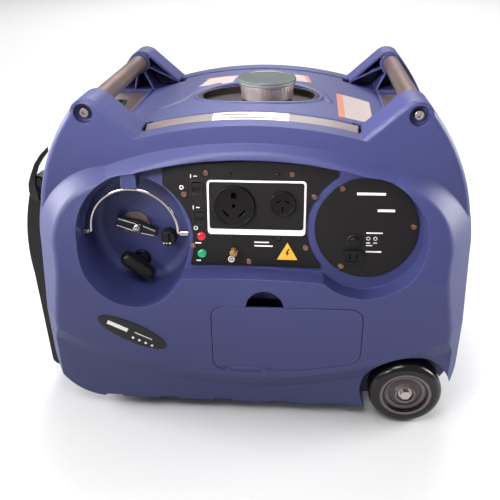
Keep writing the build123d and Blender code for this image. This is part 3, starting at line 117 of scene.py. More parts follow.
# %% A finish made of nodes
class Finish:
    """One material: a principled shader and the nodes that feed it."""

    def __init__(self, name, roughness, metallic=0.0, **constants):
        self.material = bpy.data.materials.new(name)
        self.material.use_nodes = True
        self.tree = self.material.node_tree
        self.shader = self.tree.nodes["Principled BSDF"]
        self.shader.inputs["Roughness"].default_value = roughness
        self.shader.inputs["Metallic"].default_value = metallic
        for socket, value in constants.items():
            self.shader.inputs[socket].default_value = value
        self.object_place = self.node("ShaderNodeTexCoord", output="Object")

    def node(self, kind, settings=None, sockets=None, output=0):
        """Add a node: first its settings, then the values or wires of its sockets."""
        made = self.tree.nodes.new(kind)
        for setting, value in (settings or {}).items():
            setattr(made, setting, value)
        for socket, value in (sockets or {}).items():
            if isinstance(value, Wire):
                self.tree.links.new(value.socket, made.inputs[socket])
            else:
                made.inputs[socket].default_value = value
        return Wire(self, made.outputs[output])

    def feed(self, socket, wire):
        self.tree.links.new(wire.socket, self.shader.inputs[socket])

    def noise(self, scale, detail=2.0, stretch=(1, 1, 1)):
        place = self.node("ShaderNodeMapping", None, {"Vector": self.object_place, "Scale": stretch})
        return self.node("ShaderNodeTexNoise", None, {"Vector": place, "Scale": scale, "Detail": detail})

    def soft_normal(self, radius):
        """The normal of the surface as if its edges were rounded."""
        return self.node("ShaderNodeBevel", {"samples": 4}, {"Radius": radius})

    def edges(self, radius):
        """0 on open faces, towards 1 at edges and corners."""
        true_normal = self.node("ShaderNodeNewGeometry", output="Normal")
        agree = self.node("ShaderNodeVectorMath", {"operation": "DOT_PRODUCT"},
                          {0: self.soft_normal(radius), 1: true_normal}, output="Value")
        return (1 - agree) * 6

    def bump(self, height, depth, strength=1.0, normal=None):
        sockets = {"Height": height, "Distance": depth, "Strength": strength}
        if normal:
            sockets["Normal"] = normal
        self.feed("Normal", self.node("ShaderNodeBump", None, sockets))

    def blend(self, mask, colour, other):
        """A colour that changes to the other one where the mask is 1."""
        made = self.tree.nodes.new("ShaderNodeMix")
        made.data_type = "RGBA"
        self.tree.links.new(mask.socket, made.inputs["Factor"])
        for socket, value in ((made.inputs[6], colour), (made.inputs[7], other)):
            if isinstance(value, Wire):
                self.tree.links.new(value.socket, socket)
            else:
                socket.default_value = (*value, 1)
        return Wire(self, made.outputs[2])


finishes = {}


def finished(slot, finish):
    finishes[slot] = finish.material
    print("finish:", slot, "nodes:", len(finish.tree.nodes))


# %% [markdown]
# ## Moulded plastic
# The case is injection moulded in a blue that leans to violet. The steel mould was spark eroded, which
# leaves a fine even pebble. Three things make it read as plastic: the pebble in the bump, a slow drift
# of colour and gloss, and edges that are slightly round, with a paler painted highlight along them. The
# black, taupe and brown mouldings come from the same tool room, so one function makes them all.

# %% Moulded plastics
def moulded(slot, colour, edge_highlight_colour, roughness, pebble=0.00012, edge=0.0016, shine=0.5):
    finish = Finish(slot, roughness, **{"Specular IOR Level": shine})
    drift = finish.noise(7, 3)
    grain = finish.noise(1300, 1)
    fine = finish.noise(420, 2)
    deep = tuple(channel * 0.82 for channel in colour)
    base = finish.blend(drift, deep, colour)
    # Paler colour towards edges and corners, broken up by fine noise: a painted highlight.
    painted_edge_highlight = finish.edges(edge) * (0.25 + fine * 0.5)
    finish.feed("Base Color", finish.blend(painted_edge_highlight, base, edge_highlight_colour))
    finish.feed("Roughness", roughness - 0.06 + drift * 0.08 + grain * 0.05)
    finish.bump(grain * 0.7 + fine * 0.5, pebble, 0.6, finish.soft_normal(edge))
    finished(slot, finish)


# The second colour of each moulding is the paler painted highlight that its edges take.
moulded("case_plastic", (0.030, 0.034, 0.128), (0.075, 0.078, 0.215), 0.50, shine=0.5)
moulded("black_plastic", (0.006, 0.005, 0.006), (0.025, 0.022, 0.023), 0.40, shine=0.3)
moulded("gloss_black", (0.0045, 0.0035, 0.004), (0.018, 0.016, 0.016), 0.24, 0.00002, 0.0006, shine=0.35)
moulded("taupe_plastic", (0.120, 0.086, 0.085), (0.20, 0.15, 0.14), 0.42, shine=0.4)
moulded("brown_plastic", (0.014, 0.008, 0.008), (0.045, 0.028, 0.026), 0.40, shine=0.35)
moulded("hub_grey", (0.155, 0.118, 0.130), (0.28, 0.23, 0.25), 0.38)
moulded("tank_plastic", (0.05, 0.05, 0.05), (0.09, 0.09, 0.09), 0.5)
moulded("white_print", (0.78, 0.72, 0.72), (0.85, 0.80, 0.80), 0.45, 0.00002, 0.0004)

# %% [markdown]
# ## Painted sheet
# The control plates and the base are steel, sprayed and baked. Spray paint dries with a very low
# orange peel, and it scratches lightly where hands pass. Long stretched noise gives the scratches.

# %% Painted sheet
def painted(slot, colour, roughness, peel):
    finish = Finish(slot, roughness, **{"Specular IOR Level": 0.3})
    scuffs = finish.noise(60, 4, (1, 12, 12)) > 0.66
    drift = finish.noise(25, 3)
    pale = tuple(channel * 1.5 + 0.002 for channel in colour)
    finish.feed("Base Color", finish.blend(scuffs * 0.35, colour, pale))
    finish.feed("Roughness", roughness - 0.05 + drift * 0.12 + scuffs * 0.08)
    finish.bump(finish.noise(peel, 1), 0.00006, 0.4, finish.soft_normal(0.0008))
    finished(slot, finish)


painted("panel_black", (0.0050, 0.0038, 0.0042), 0.42, 900)
painted("black_steel", (0.010, 0.009, 0.010), 0.4, 500)

# %% [markdown]
# ## Metals
# Plated wire and caps are polished, with faint handling marks in the gloss. The carry tubes have a
# taupe satin lacquer, brushed round before it was sprayed. Cast parts are grainy. All take their
# colour from the metallic base, and noise changes only the gloss and the bump.

# %% Metals
def metal(slot, colour, roughness, marks, grain, depth, stretch=(1, 1, 1), metallic=1.0):
    finish = Finish(slot, roughness, metallic)
    smear = finish.noise(marks, 3)
    fibre = finish.noise(grain, 2, stretch)
    dull = tuple(channel * 0.8 for channel in colour)
    finish.feed("Base Color", finish.blend(smear, dull, colour))
    finish.feed("Roughness", roughness * 0.7 + smear * roughness * 0.6)
    finish.bump(fibre, depth, 0.5, finish.soft_normal(0.0005))
    finished(slot, finish)


metal("chrome", (0.60, 0.54, 0.52), 0.16, 40, 300, 0.00001)
metal("zinc_steel", (0.30, 0.28, 0.28), 0.34, 60, 500, 0.00003)
metal("copper_steel", (0.46, 0.25, 0.19), 0.28, 80, 400, 0.00002)
metal("brass", (0.62, 0.38, 0.17), 0.26, 80, 400, 0.00002)
metal("tube_metal", (0.235, 0.165, 0.152), 0.36, 20, 700, 0.00004, (1, 12, 1), 0.8)
metal("cap_steel", (0.52, 0.43, 0.42), 0.36, 60, 400, 0.00003, (1, 1, 6), 0.9)
metal("badge_chrome", (0.26, 0.225, 0.22), 0.24, 30, 90, 0.0003, (4, 1, 1))
metal("cast_aluminium", (0.55, 0.55, 0.56), 0.5, 30, 350, 0.0002)

# %% [markdown]
# ## Rubber, lenses
# A solid tyre is shiny from its mould and dusty in patches. The feet and the grip sleeve are duller.
# The two lamps have small coloured lenses over dark sockets, so the colour glows only at the rim. A
# little emission stands in for light that scatters inside the lens.

# %% Rubber and lenses
def rubbery(slot, colour, roughness, dusty):
    finish = Finish(slot, roughness, **{"Specular IOR Level": 0.4})
    dust = finish.noise(18, 4)
    finish.feed("Base Color", finish.blend(dust * dusty, colour, (0.05, 0.042, 0.042)))
    finish.feed("Roughness", roughness + dust * 0.15)
    finish.bump(finish.noise(800, 2), 0.00008, 0.5)
    finished(slot, finish)


def lens(slot, colour, glow):
    finish = Finish(slot, 0.12, **{"Coat Weight": 0.6})
    cells = finish.node("ShaderNodeTexVoronoi", None, {"Vector": finish.object_place, "Scale": 900.0})
    finish.feed("Base Color", finish.blend(cells, colour, tuple(channel * 0.35 for channel in colour)))
    finish.feed("Emission Color", finish.blend(cells, glow, (0, 0, 0)))
    finish.shader.inputs["Emission Strength"].default_value = 0.25
    finish.bump(cells, 0.0002, 0.4)
    finished(slot, finish)


rubbery("tyre", (0.005, 0.0038, 0.0042), 0.15, 0.05)
rubbery("rubber", (0.012, 0.011, 0.012), 0.5, 0.3)
lens("red_lens", (0.55, 0.01, 0.03), (0.5, 0.0, 0.02))
lens("green_lens", (0.01, 0.36, 0.14), (0.0, 0.3, 0.1))

# %% [markdown]
# ## Finishes that only the trim uses
# The cap's lid is a dark green-grey lacquer under a clear coat. The rating plates are pale paper with
# a warm edge, the hazard plate is a warm yellow, the print on the black plates is off-white, and a
# darker finish sets off the middle of each hub.

# %% Trim finishes
moulded("lid_lacquer", (0.085, 0.105, 0.105), (0.20, 0.23, 0.23), 0.14, 0.00001, 0.0006)
moulded("plate_paper", (0.36, 0.30, 0.29), (0.40, 0.34, 0.33), 0.5, 0.00001, 0.0003)
moulded("plate_edge", (0.40, 0.14, 0.085), (0.42, 0.17, 0.11), 0.5, 0.00001, 0.0003)
moulded("hazard_yellow", (0.82, 0.38, 0.035), (0.85, 0.45, 0.08), 0.45, 0.00001, 0.0003)
moulded("hub_dark", (0.060, 0.044, 0.048), (0.12, 0.09, 0.10), 0.40)

# %% [markdown]
# ## Every CAD node takes the finish of its slot
# The record already says which finish each node has, so the frame itself is the table.

# %% Dress the CAD nodes
for subpart in frame["record"]["subparts"]:
    materials = nodes[subpart["node"]].data.materials
    materials.clear()
    materials.append(finishes[subpart["material_slot"]])
nodes["fuel_cap"].data.materials[0] = finishes["cap_steel"]

# %% [markdown]
# ## Helpers for trim
# Trim is thin and follows what it sits on. A Skin is a CAD node that can be asked where a straight
# line meets it, which drapes a plate or a bead over the curved case with no fitting by eye.

# %% Ask a node where its surface is
class Skin:
    """The surface of one CAD node."""

    def __init__(self, node):
        mesh = nodes[node].data
        self.tree = BVHTree.FromPolygons([v.co for v in mesh.vertices], [p.vertices for p in mesh.polygons])

    def under(self, point, direction):
        """Where a line from the point meets the surface, and the normal there, towards the point."""
        place, normal, _, _ = self.tree.ray_cast(point, direction)
        if place is None:
            raise ValueError(f"nothing under {tuple(point)}")
        return place, (-normal if normal.dot(direction) > 0 else normal)


def settle(name, build, finish, body="case", smooth=True):
    """Make the finished mesh an object that rides on a body."""
    mesh = bpy.data.meshes.new(name)
    bmesh.ops.recalc_face_normals(build, faces=build.faces)
    build.to_mesh(mesh)
    build.free()
    piece = bpy.data.objects.new(name, mesh)
    bpy.context.scene.collection.objects.link(piece)
    mesh.materials.append(finishes[finish])
    for face in mesh.polygons:
        face.use_smooth = smooth
    if smooth:
        mesh.set_sharp_from_angle(angle=radians(35))
    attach(piece, body)
    print(f"{name}: {len(mesh.polygons)} faces on {body}")
    return piece


def plate_over(skin, rows, direction, thick):
    """A plate whose top follows the skin: rows of start points, dropped along the direction."""
    build = bmesh.new()
    grids = []
    for lift in (thick, -0.3 * mm):
        grid = []
        for row in rows:
            spots = [skin.under(point, direction) for point in row]
            grid.append([build.verts.new(place + normal * lift) for place, normal in spots])
        grids.append(grid)
    top, low = grids
    last_row, last_column = len(rows) - 1, len(rows[0]) - 1
    for i in range(last_row):
        for j in range(last_column):
            for grid in grids:
                build.faces.new((grid[i][j], grid[i][j + 1], grid[i + 1][j + 1], grid[i + 1][j]))
    border = [(0, j) for j in range(last_column)] + [(i, last_column) for i in range(last_row)]
    border += [(last_row, j) for j in range(last_column, 0, -1)] + [(i, 0) for i in range(last_row, 0, -1)]
    for (i, j), (k, m) in zip(border, border[1:] + border[:1]):
        build.faces.new((top[i][j], top[k][m], low[k][m], low[i][j]))
    return build


def bead_over(skin, path, direction, width, height, closed):
    """A rounded bead along a path on the skin."""
    spots = [skin.under(point, direction) for point in path]
    count = len(spots)
    build = bmesh.new()
    rings = []
    for index, (place, normal) in enumerate(spots):
        after = spots[(index + 1) % count][0] if closed or index < count - 1 else place
        before = spots[index - 1][0] if closed or index else place
        side = (after - before).normalized().cross(normal).normalized()
        taper = 1.0 if closed else min(1.0, 0.15 + 0.35 * min(index, count - 1 - index))
        ring = []
        for step in range(7):
            turn = pi * step / 6
            reach = side * cos(turn) * width / 2 * taper
            rise = normal * (sin(turn) * height * taper - 0.3 * mm)
            ring.append(build.verts.new(place + reach + rise))
        rings.append(ring)
    pairs = list(zip(rings, rings[1:] + rings[:1])) if closed else list(zip(rings, rings[1:]))
    for ring, following in pairs:
        for step in range(7):
            nxt = (step + 1) % 7
            build.faces.new((ring[step], ring[nxt], following[nxt], following[step]))
    if not closed:
        build.faces.new(rings[0])
        build.faces.new(rings[-1])
    return build


def slab(build, outline, place, thick):
    """Extrude a flat outline, in millimetres, and add it to the mesh. Its own axes come from place."""
    base = [build.verts.new(place @ Vector((x * mm, y * mm, -0.05 * mm))) for x, y in outline]
    top = [build.verts.new(place @ Vector((x * mm, y * mm, thick * mm))) for x, y in outline]
    build.faces.new(top)
    build.faces.new(base[::-1])
    for a in range(len(outline)):
        b = (a + 1) % len(outline)
        build.faces.new((base[a], base[b], top[b], top[a]))


def facing(centre, across, out, turn=0.0):
    """Axes at a point: X across, Z out of the surface, turned about Z by degrees."""
    up = out.cross(across).normalized()
    axes = Matrix((across.normalized(), up, out.normalized())).transposed().to_4x4()
    return Matrix.Translation(centre) @ axes @ Matrix.Rotation(radians(turn), 4, "Z")


def round_outline(radius, count=32, centre=(0, 0)):
    return [(centre[0] + radius * cos(2 * pi * k / count), centre[1] + radius * sin(2 * pi * k / count))
            for k in range(count)]


def bar_outline(width, height, centre=(0, 0)):
    x, y = centre
    return [(x - width / 2, y - height / 2), (x + width / 2, y - height / 2),
            (x + width / 2, y + height / 2), (x - width / 2, y + height / 2)]


X_AXIS = Vector((1, 0, 0))
DOWN = Vector((0, 0, -1))
BACK = Vector((0, 1, 0))

# %% [markdown]
# ## Trim on the top cover
# The moulding rises in a bead round the sunk filler tray, and two soft creases outside it catch the
# light. All are sweeps over the crowned cover, so they are beads dropped on its skin.

# %% The beads round the filler tray
cover_skin = Skin("top_cover")
above = shell_high.z + 0.05
tray_low, tray_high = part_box("cap_tray")
tray_middle = (tray_low + tray_high) / 2


def oval_path(half_length, half_width, steps=72):
    """Oval round the filler tray, as start points above the cover."""
    return [Vector((tray_middle.x + half_length * cos(2 * pi * k / steps),
                    tray_middle.y + half_width * sin(2 * pi * k / steps), above)) for k in range(steps)]


def smooth_path(points, steps=8):
    """Start points on a smooth line through a few places, in millimetres from the case's middle."""
    ends = [points[0], *points, points[-1]]
    line = []
    for a, b, c, d in zip(ends, ends[1:], ends[2:], ends[3:]):
        for k in range(steps):
            t = k / steps
            weights = (-t**3 + 2 * t**2 - t, 3 * t**3 - 5 * t**2 + 2, -3 * t**3 + 4 * t**2 + t, t**3 - t**2)
            x, y = (sum(w * p[i] for w, p in zip(weights, (a, b, c, d))) / 2 for i in (0, 1))
            line.append(Vector((case_x + x * mm, y * mm, above)))
    return line + [Vector((case_x + points[-1][0] * mm, points[-1][1] * mm, above))]


tray_half_length = (tray_high.x - tray_low.x) / 2
tray_half_width = (tray_high.y - tray_low.y) / 2
rim = bead_over(cover_skin, oval_path(tray_half_length + 5 * mm, tray_half_width + 5 * mm), DOWN,
                8 * mm, 2.6 * mm, True)
settle("tray_rim", rim, "case_plastic")
creases = {"left_crease": [(-144, -56), (-118, -47), (-101, -26), (-95, 2), (-80, 30), (-52, 52)],
           "right_crease": [(108, -46), (104, -20), (97, 8), (80, 34), (52, 54)]}
for name, points in creases.items():
    settle(name, bead_over(cover_skin, smooth_path(points), DOWN, 13 * mm, 1.8 * mm, False), "case_plastic")

# %% [markdown]
# ## Plates on the cover
# Paper rating plates are printed and stuck on. They carry nothing here: a pale sheet with a warm
# stripe along one edge keeps the look, and no words.

# %% Rating plates
def plate_rows(corners, columns, rows):
    """Start points of a four-cornered plate, in millimetres from the case's middle."""
    (ax, ay), (bx, by), (cx, cy), (dx, dy) = corners
    grid = []
    for i in range(rows + 1):
        t = i / rows
        left, right = (ax + (dx - ax) * t, ay + (dy - ay) * t), (bx + (cx - bx) * t, by + (cy - by) * t)
        grid.append([Vector((case_x + (left[0] + (right[0] - left[0]) * j / columns) * mm,
                             (left[1] + (right[1] - left[1]) * j / columns) * mm, above))
                     for j in range(columns + 1)])
    return grid


rating_plates = {
    "right_rating_plate": [(129, 22), (169, 19), (164, -106), (127, -108)],
    "left_rear_plate": [(-90, 46), (-38, 46), (-34, 96), (-80, 96)],
    "right_rear_plate": [(42, 66), (78, 66), (72, 112), (40, 112)],
}
plate_edges = {
    "right_plate_edge": [(120, 22), (129, 22), (127, -108), (118, -109)],
    "left_rear_edge": [(-88, 96), (-34, 96), (-34, 100), (-86, 100)],
    "right_rear_edge": [(78, 66), (84, 66), (78, 112), (72, 112)],
}
for name, corners in rating_plates.items():
    plate = plate_over(cover_skin, plate_rows(corners, 8, 16), DOWN, 0.4 * mm)
    settle(name, plate, "plate_paper")
for name, corners in plate_edges.items():
    plate = plate_over(cover_skin, plate_rows(corners, 2, 16), DOWN, 0.4 * mm)
    settle(name, plate, "plate_edge")

# %% [markdown]
# ## The cross strip and its bright plate
# A taupe strip runs over the crown, with a polished plate in the middle. The plate is bent to the
# crown. Two plain raised bars stand where a maker would put a name.

# %% The bright plate
strip_skin = Skin("decor_strip")
strip_low, strip_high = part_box("decor_strip")
plate_from, plate_to = -44.0, 54.0          # millimetres from the case's middle
strip_margin = 1.2 * mm


def strip_rows(x_from, x_to, y_from, y_to, columns, rows=3):
    """Start points over the strip: x in millimetres from the case's middle, y in metres."""
    return [[Vector((case_x + (x_from + (x_to - x_from) * j / columns) * mm,
                     y_from + (y_to - y_from) * i / rows, above))
             for j in range(columns + 1)] for i in range(rows + 1)]


bright = plate_over(strip_skin, strip_rows(plate_from, plate_to, strip_low.y + strip_margin,
                                           strip_high.y - strip_margin, 28), DOWN, 1.2 * mm)
settle("strip_badge", bright, "badge_chrome")
strip_depth = strip_high.y - strip_low.y
badge_bars = (("badge_bar_wide", -34, 40, 0.26, 0.36), ("badge_bar_short", -34, 2, 0.62, 0.74))
for name, x_from, x_to, low, high in badge_bars:
    bar = plate_over(strip_skin, strip_rows(x_from, x_to, strip_low.y + strip_depth * low,
                                            strip_low.y + strip_depth * high, 20), DOWN, 1.5 * mm)
    settle(name, bar, "taupe_plastic")

# %% [markdown]
# ## The filler cap
# The cap is a bright skirt under a dark lacquered lid. The lid is a shallow turned dish with a rolled
# edge, so it is a profile spun about the cap's axis. Fine ribs round the skirt give fingers a hold.

# %% The cap's lid
cap_low, cap_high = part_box("fuel_cap")
cap_middle = (cap_low + cap_high) / 2
cap_radius = (cap_high.x - cap_low.x) / 2


def turned(profile, centre, count=96):
    """Spin a profile of (radius, height) points about a vertical axis."""
    build = bmesh.new()
    rings = []
    for k in range(count):
        turn = 2 * pi * k / count
        rings.append([build.verts.new(centre + Vector((r * cos(turn), r * sin(turn), h)))
                      for r, h in profile])
    for ring, following in zip(rings, rings[1:] + rings[:1]):
        for a in range(len(profile) - 1):
            build.faces.new((ring[a], following[a], following[a + 1], ring[a + 1]))
    bmesh.ops.remove_doubles(build, verts=build.verts, dist=1e-6)
    return build


lid_top = Vector((cap_middle.x, cap_middle.y, cap_high.z))
lid_radius = cap_radius + 0.3 * mm
lid_profile = [(0, 1.5), (lid_radius / mm * 0.6, 1.3),
               (lid_radius / mm - 6.0, 0.9), (lid_radius / mm - 4.6, 1.1),
               (lid_radius / mm - 3.2, 1.7), (lid_radius / mm - 1.2, 1.4), (lid_radius / mm, 0.2),
               (lid_radius / mm, -2.2), (lid_radius / mm - 0.7, -2.8), (lid_radius / mm - 0.7, -3.6),
               (lid_radius / mm, -4.0), (lid_radius / mm - 0.2, -5.6), (lid_radius / mm - 1.5, -5.9)]
lid_profile = [(radius * mm, height * mm) for radius, height in lid_profile] + [(0, -5.9 * mm)]
settle("cap_lid", turned(lid_profile, lid_top), "lid_lacquer", "cap")

# %% [markdown]
# ## Repeated trim with Geometry Nodes
# Rivets, ribs and dots are the same small shape many times. A node tree with named inputs places one
# shape round a ring or along a row, and its result becomes a plain mesh, because the export drops
# instances. The ring tree makes the ribs on the cap, and the row tree the rivets and the badge's dots.

# %% A tree that repeats a shape on a ring
def repeat_tree(name, around):
    """Geometry Nodes tree: one shape, repeated on a ring or on a row of points."""
    tree = bpy.data.node_groups.new(name, "GeometryNodeTree")
    tree.interface.new_socket("Geometry", in_out="OUTPUT", socket_type="NodeSocketGeometry")
    inputs = {}
    for label, kind in (("Count", "NodeSocketInt"), ("Radius", "NodeSocketFloat"),
                        ("Shape", "NodeSocketObject"), ("Finish", "NodeSocketMaterial")):
        inputs[label] = tree.interface.new_socket(label, in_out="INPUT", socket_type=kind).identifier
    enter, leave = tree.nodes.new("NodeGroupInput"), tree.nodes.new("NodeGroupOutput")
    if around:
        points = tree.nodes.new("GeometryNodeMeshCircle")
        tree.links.new(enter.outputs["Count"], points.inputs["Vertices"])
        tree.links.new(enter.outputs["Radius"], points.inputs["Radius"])
        where = points.outputs[0]
    else:
        points = tree.nodes.new("GeometryNodeMeshLine")
        spacing = tree.nodes.new("ShaderNodeCombineXYZ")
        tree.links.new(enter.outputs["Count"], points.inputs["Count"])
        tree.links.new(enter.outputs["Radius"], spacing.inputs["X"])
        tree.links.new(spacing.outputs[0], points.inputs["Offset"])
        where = points.outputs[0]
    shape = tree.nodes.new("GeometryNodeObjectInfo")
    tree.links.new(enter.outputs["Shape"], shape.inputs["Object"])
    copies = tree.nodes.new("GeometryNodeInstanceOnPoints")
    tree.links.new(where, copies.inputs["Points"])
    tree.links.new(shape.outputs["Geometry"], copies.inputs["Instance"])
    if around:
        position = tree.nodes.new("GeometryNodeInputPosition")
        align = tree.nodes.new("FunctionNodeAlignRotationToVector")
        align.axis = "X"
        tree.links.new(position.outputs[0], align.inputs["Vector"])
        tree.links.new(align.outputs[0], copies.inputs["Rotation"])
    real = tree.nodes.new("GeometryNodeRealizeInstances")
    colour = tree.nodes.new("GeometryNodeSetMaterial")
    tree.links.new(copies.outputs[0], real.inputs[0])
    tree.links.new(real.outputs[0], colour.inputs[0])
    tree.links.new(enter.outputs["Finish"], colour.inputs["Material"])
    tree.links.new(colour.outputs[0], leave.inputs[0])
    return tree, inputs


ring_tree, ring_inputs = repeat_tree("repeat_on_ring", True)
row_tree, row_inputs = repeat_tree("repeat_on_row", False)


def repeated(name, tree, inputs, shape, count, size, finish, place, body="case"):
    """Run a repeat tree once, keep its result as a plain mesh and put it in place."""
    holder = bpy.data.objects.new(name + "_points", bpy.data.meshes.new(name + "_points"))
    bpy.context.scene.collection.objects.link(holder)
    mould = bpy.data.meshes.new(name + "_shape")
    bmesh.ops.recalc_face_normals(shape, faces=shape.faces)
    shape.to_mesh(mould)
    shape.free()
    mould_object = bpy.data.objects.new(name + "_shape", mould)
    bpy.context.scene.collection.objects.link(mould_object)
    modifier = holder.modifiers.new("Repeat", "NODES")
    modifier.node_group = tree
    modifier[inputs["Count"]] = count
    modifier[inputs["Radius"]] = size
    modifier[inputs["Shape"]] = mould_object
    modifier[inputs["Finish"]] = finishes[finish]
    view = bpy.context.evaluated_depsgraph_get()
    mesh = bpy.data.meshes.new_from_object(holder.evaluated_get(view))
    bpy.data.objects.remove(holder)
    bpy.data.objects.remove(mould_object)
    mesh.transform(place)
    for face in mesh.polygons:
        face.use_smooth = True
    mesh.set_sharp_from_angle(angle=radians(35))
    mesh.name = name
    piece = bpy.data.objects.new(name, mesh)
    bpy.context.scene.collection.objects.link(piece)
    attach(piece, body)
    print(f"{name}: {count} copies, {len(mesh.polygons)} faces on {body}")
    return piece


# %% Ribs round the cap's skirt
def rounded_block(x, y, z, round_by, segments=2):
    """A small block, in metres, with rounded edges."""
    build = bmesh.new()
    bmesh.ops.create_cube(build, size=1.0)
    bmesh.ops.scale(build, vec=(x, y, z), verts=build.verts)
    bmesh.ops.bevel(build, geom=build.edges, offset=round_by, segments=segments, affect="EDGES", profile=0.5)
    return build


cap_rib = rounded_block(0.9 * mm, 2.6 * mm, 8 * mm, 0.3 * mm, 1)
skirt_radius = cap_radius - 4.0 * mm
repeated("cap_ribs", ring_tree, ring_inputs, cap_rib, 40, skirt_radius, "cap_steel",
         Matrix.Translation((cap_middle.x, cap_middle.y, cap_high.z - 12 * mm)), "cap")

# %% [markdown]
# ## Prints and plates on the control panel
# The marks beside the switches are printed in off-white. Words are left out: a switch has the plain
# signs for on and off, a bar and a ring. The hazard plate is a plain yellow triangle.

# %% Printed marks on the black plates
def ring_mark(build, radius, width, place, count=28):
    outer, inner = round_outline(radius, count), round_outline(radius - width, count)
    for k in range(count):
        n = (k + 1) % count
        slab(build, [outer[k], outer[n], inner[n], inner[k]], place, 0.12)


def mark_place(x, up, turn=0.0):
    return facing(on_panel(x, up), X_AXIS, panel_out, turn)


marks = bmesh.new()
for x, up in ((-67.6, 128.0), (-65.4, 86.6)):
    slab(marks, bar_outline(1.4, 5.0), mark_place(x - 2.5, up), 0.12)
    slab(marks, bar_outline(4.6, 1.4), mark_place(x + 3.5, up), 0.12)
for x, up in ((-82.5, 113.0), (-65.4, 58.8)):
    ring_mark(marks, 2.8, 1.1, mark_place(x, up))
ring_mark(marks, 4.4, 1.3, mark_place(-18.8, 16.5))
slab(marks, bar_outline(5.0, 1.2), mark_place(-18.8, 17.4), 0.12)
slab(marks, bar_outline(2.8, 1.2), mark_place(-18.8, 15.2), 0.12)
for row, width in enumerate((19.0, 24.0)):
    slab(marks, bar_outline(width, 1.7), mark_place(12.0 + width / 2, 41.0 - row * 5.0), 0.12)
for x, up, width in ((-62.7, 38.2, 8.0), (-62.7, 13.6, 6.0)):
    slab(marks, bar_outline(width, 1.7), mark_place(x, up), 0.12)
for x, up, width, height in ((160, 108.5, 36, 3.4), (180, 87.0, 22, 3.4), (167, 57.0, 21, 1.8),
                             (159.5, 43.5, 5, 1.4), (168.5, 43.5, 5, 1.4), (161.0, 40.0, 8, 1.2),
                             (167, 31.5, 20, 1.8)):
    slab(marks, bar_outline(width, height), mark_place(x, up), 0.12)
for x in (159.5, 168.5):
    ring_mark(marks, 2.6, 0.9, mark_place(x, 49.5))
settle("panel_marks", marks, "white_print", smooth=False)

# %% The hazard plate
hazard = bmesh.new()
slab(hazard, [(-13.5, 0), (13.5, 0), (0, 23.5)], mark_place(55.3, 17.6), 0.5)
bmesh.ops.bevel(hazard, geom=hazard.edges, offset=0.25 * mm, segments=2, affect="EDGES", profile=0.5)
settle("hazard_plate", hazard, "hazard_yellow", smooth=False)
bolt_mark = bmesh.new()
slab(bolt_mark, [(1.2, 15.5), (-2.6, 8.8), (-0.2, 8.8), (-1.6, 4.2), (2.8, 10.0), (0.4, 10.0), (3.2, 15.5)],
     facing(on_panel(55.3, 17.6, 0.5), X_AXIS, panel_out), 0.15)
settle("hazard_mark", bolt_mark, "gloss_black", smooth=False)

# %% [markdown]
# ## Snap rivets
# Four black plastic rivets hold the outlets' carrier. Each is a domed head with a dimple, turned on a
# row by the same tree, one row above the outlets and one below.

# %% Snap rivets
def rivet_head(radius, height, count=20):
    """Domed head with a dimple, along Z."""
    profile = [(0, 0.55), (0.22, 0.55), (0.32, 0.85), (0.6, 1.0), (0.85, 0.72), (1.0, 0.25),
               (1.0, -0.1), (0, -0.1)]
    return turned([(r * radius, h * height) for r, h in profile], Vector((0, 0, 0)), count)


for name, left, right, up in (("upper_rivets", -19.8, 41.7, 131.0), ("lower_rivets", -18.8, 43.8, 46.0)):
    repeated(name, row_tree, row_inputs, rivet_head(3.2 * mm, 1.5 * mm), 2, (right - left) * mm,
             "gloss_black",
             mark_place(left, up))

# %% [markdown]
# ## The oval badge
# A black oval sits low on the left of the front, tilted down to the right. The front face is nearly
# flat there, and the plate is dropped on it from the front. It holds a pale bar and four dots.

# %% The oval badge
front_skin = Skin("front_shell")
badge_centre = Vector((case_x - 156 * mm, shell_low.y - 0.05, 142.5 * mm))
badge_half = Vector((51 * mm, 15.5 * mm))
badge_tilt = radians(-26)


def badge_point(x, z):
    """Start point in front of the badge, from its own tilted axes."""
    return badge_centre + Vector((x * cos(badge_tilt) - z * sin(badge_tilt), 0,
                                  x * sin(badge_tilt) + z * cos(badge_tilt)))


def oval_rows(half_x, half_z, rings=5, count=64):
    """Rings of start points from near the middle to the rim, closed on themselves."""
    return [[badge_point(half_x * r / rings * cos(2 * pi * k / count),
                         half_z * r / rings * sin(2 * pi * k / count))
             for k in range(count + 1)] for r in range(1, rings + 1)]


def oval_plate(skin, rows, direction, thick):
    """Domed plate from rings of start points: closed in the middle, with a wall at the rim."""
    build = bmesh.new()
    rings = []
    last = len(rows) - 1
    for index, row in enumerate(rows):
        lift = thick * sqrt(max(0.0, 1 - (index / last)**6 * 0.6))
        spots = [skin.under(point, direction) for point in row[:-1]]
        rings.append([build.verts.new(place + normal * lift) for place, normal in spots])
    rings.append([build.verts.new(place - normal * 0.3 * mm) for place, normal in
                  (skin.under(point, direction) for point in rows[-1][:-1])])
    for ring, following in zip(rings, rings[1:]):
        for k in range(len(ring)):
            n = (k + 1) % len(ring)
            build.faces.new((ring[k], ring[n], following[n], following[k]))
    build.faces.new(rings[0])
    build.faces.new(rings[-1])
    return build


settle("oval_badge", oval_plate(front_skin, oval_rows(badge_half.x, badge_half.y), BACK, 1.6 * mm),
       "gloss_black")


def badge_place(x, z):
    place, normal = front_skin.under(badge_point(x * mm, z * mm), BACK)
    across = Vector((cos(badge_tilt), 0, sin(badge_tilt)))
    return facing(place + normal * 1.6 * mm, across, normal)


badge_marks = bmesh.new()
slab(badge_marks, bar_outline(30, 6.0), badge_place(-22, 1.0), 0.2)
slab(badge_marks, bar_outline(26, 1.2), badge_place(16, 2.5), 0.2)
settle("badge_marks", badge_marks, "white_print", smooth=False)
dot_profile = [(0, 0.25 * mm), (1.6 * mm, 0.25 * mm), (1.9 * mm, -0.1 * mm), (0, -0.1 * mm)]
dot = turned(dot_profile, Vector((0, 0, 0)), 20)
repeated("badge_dots", row_tree, row_inputs, dot, 4, 9.5 * mm, "white_print", badge_place(4, -7.0))
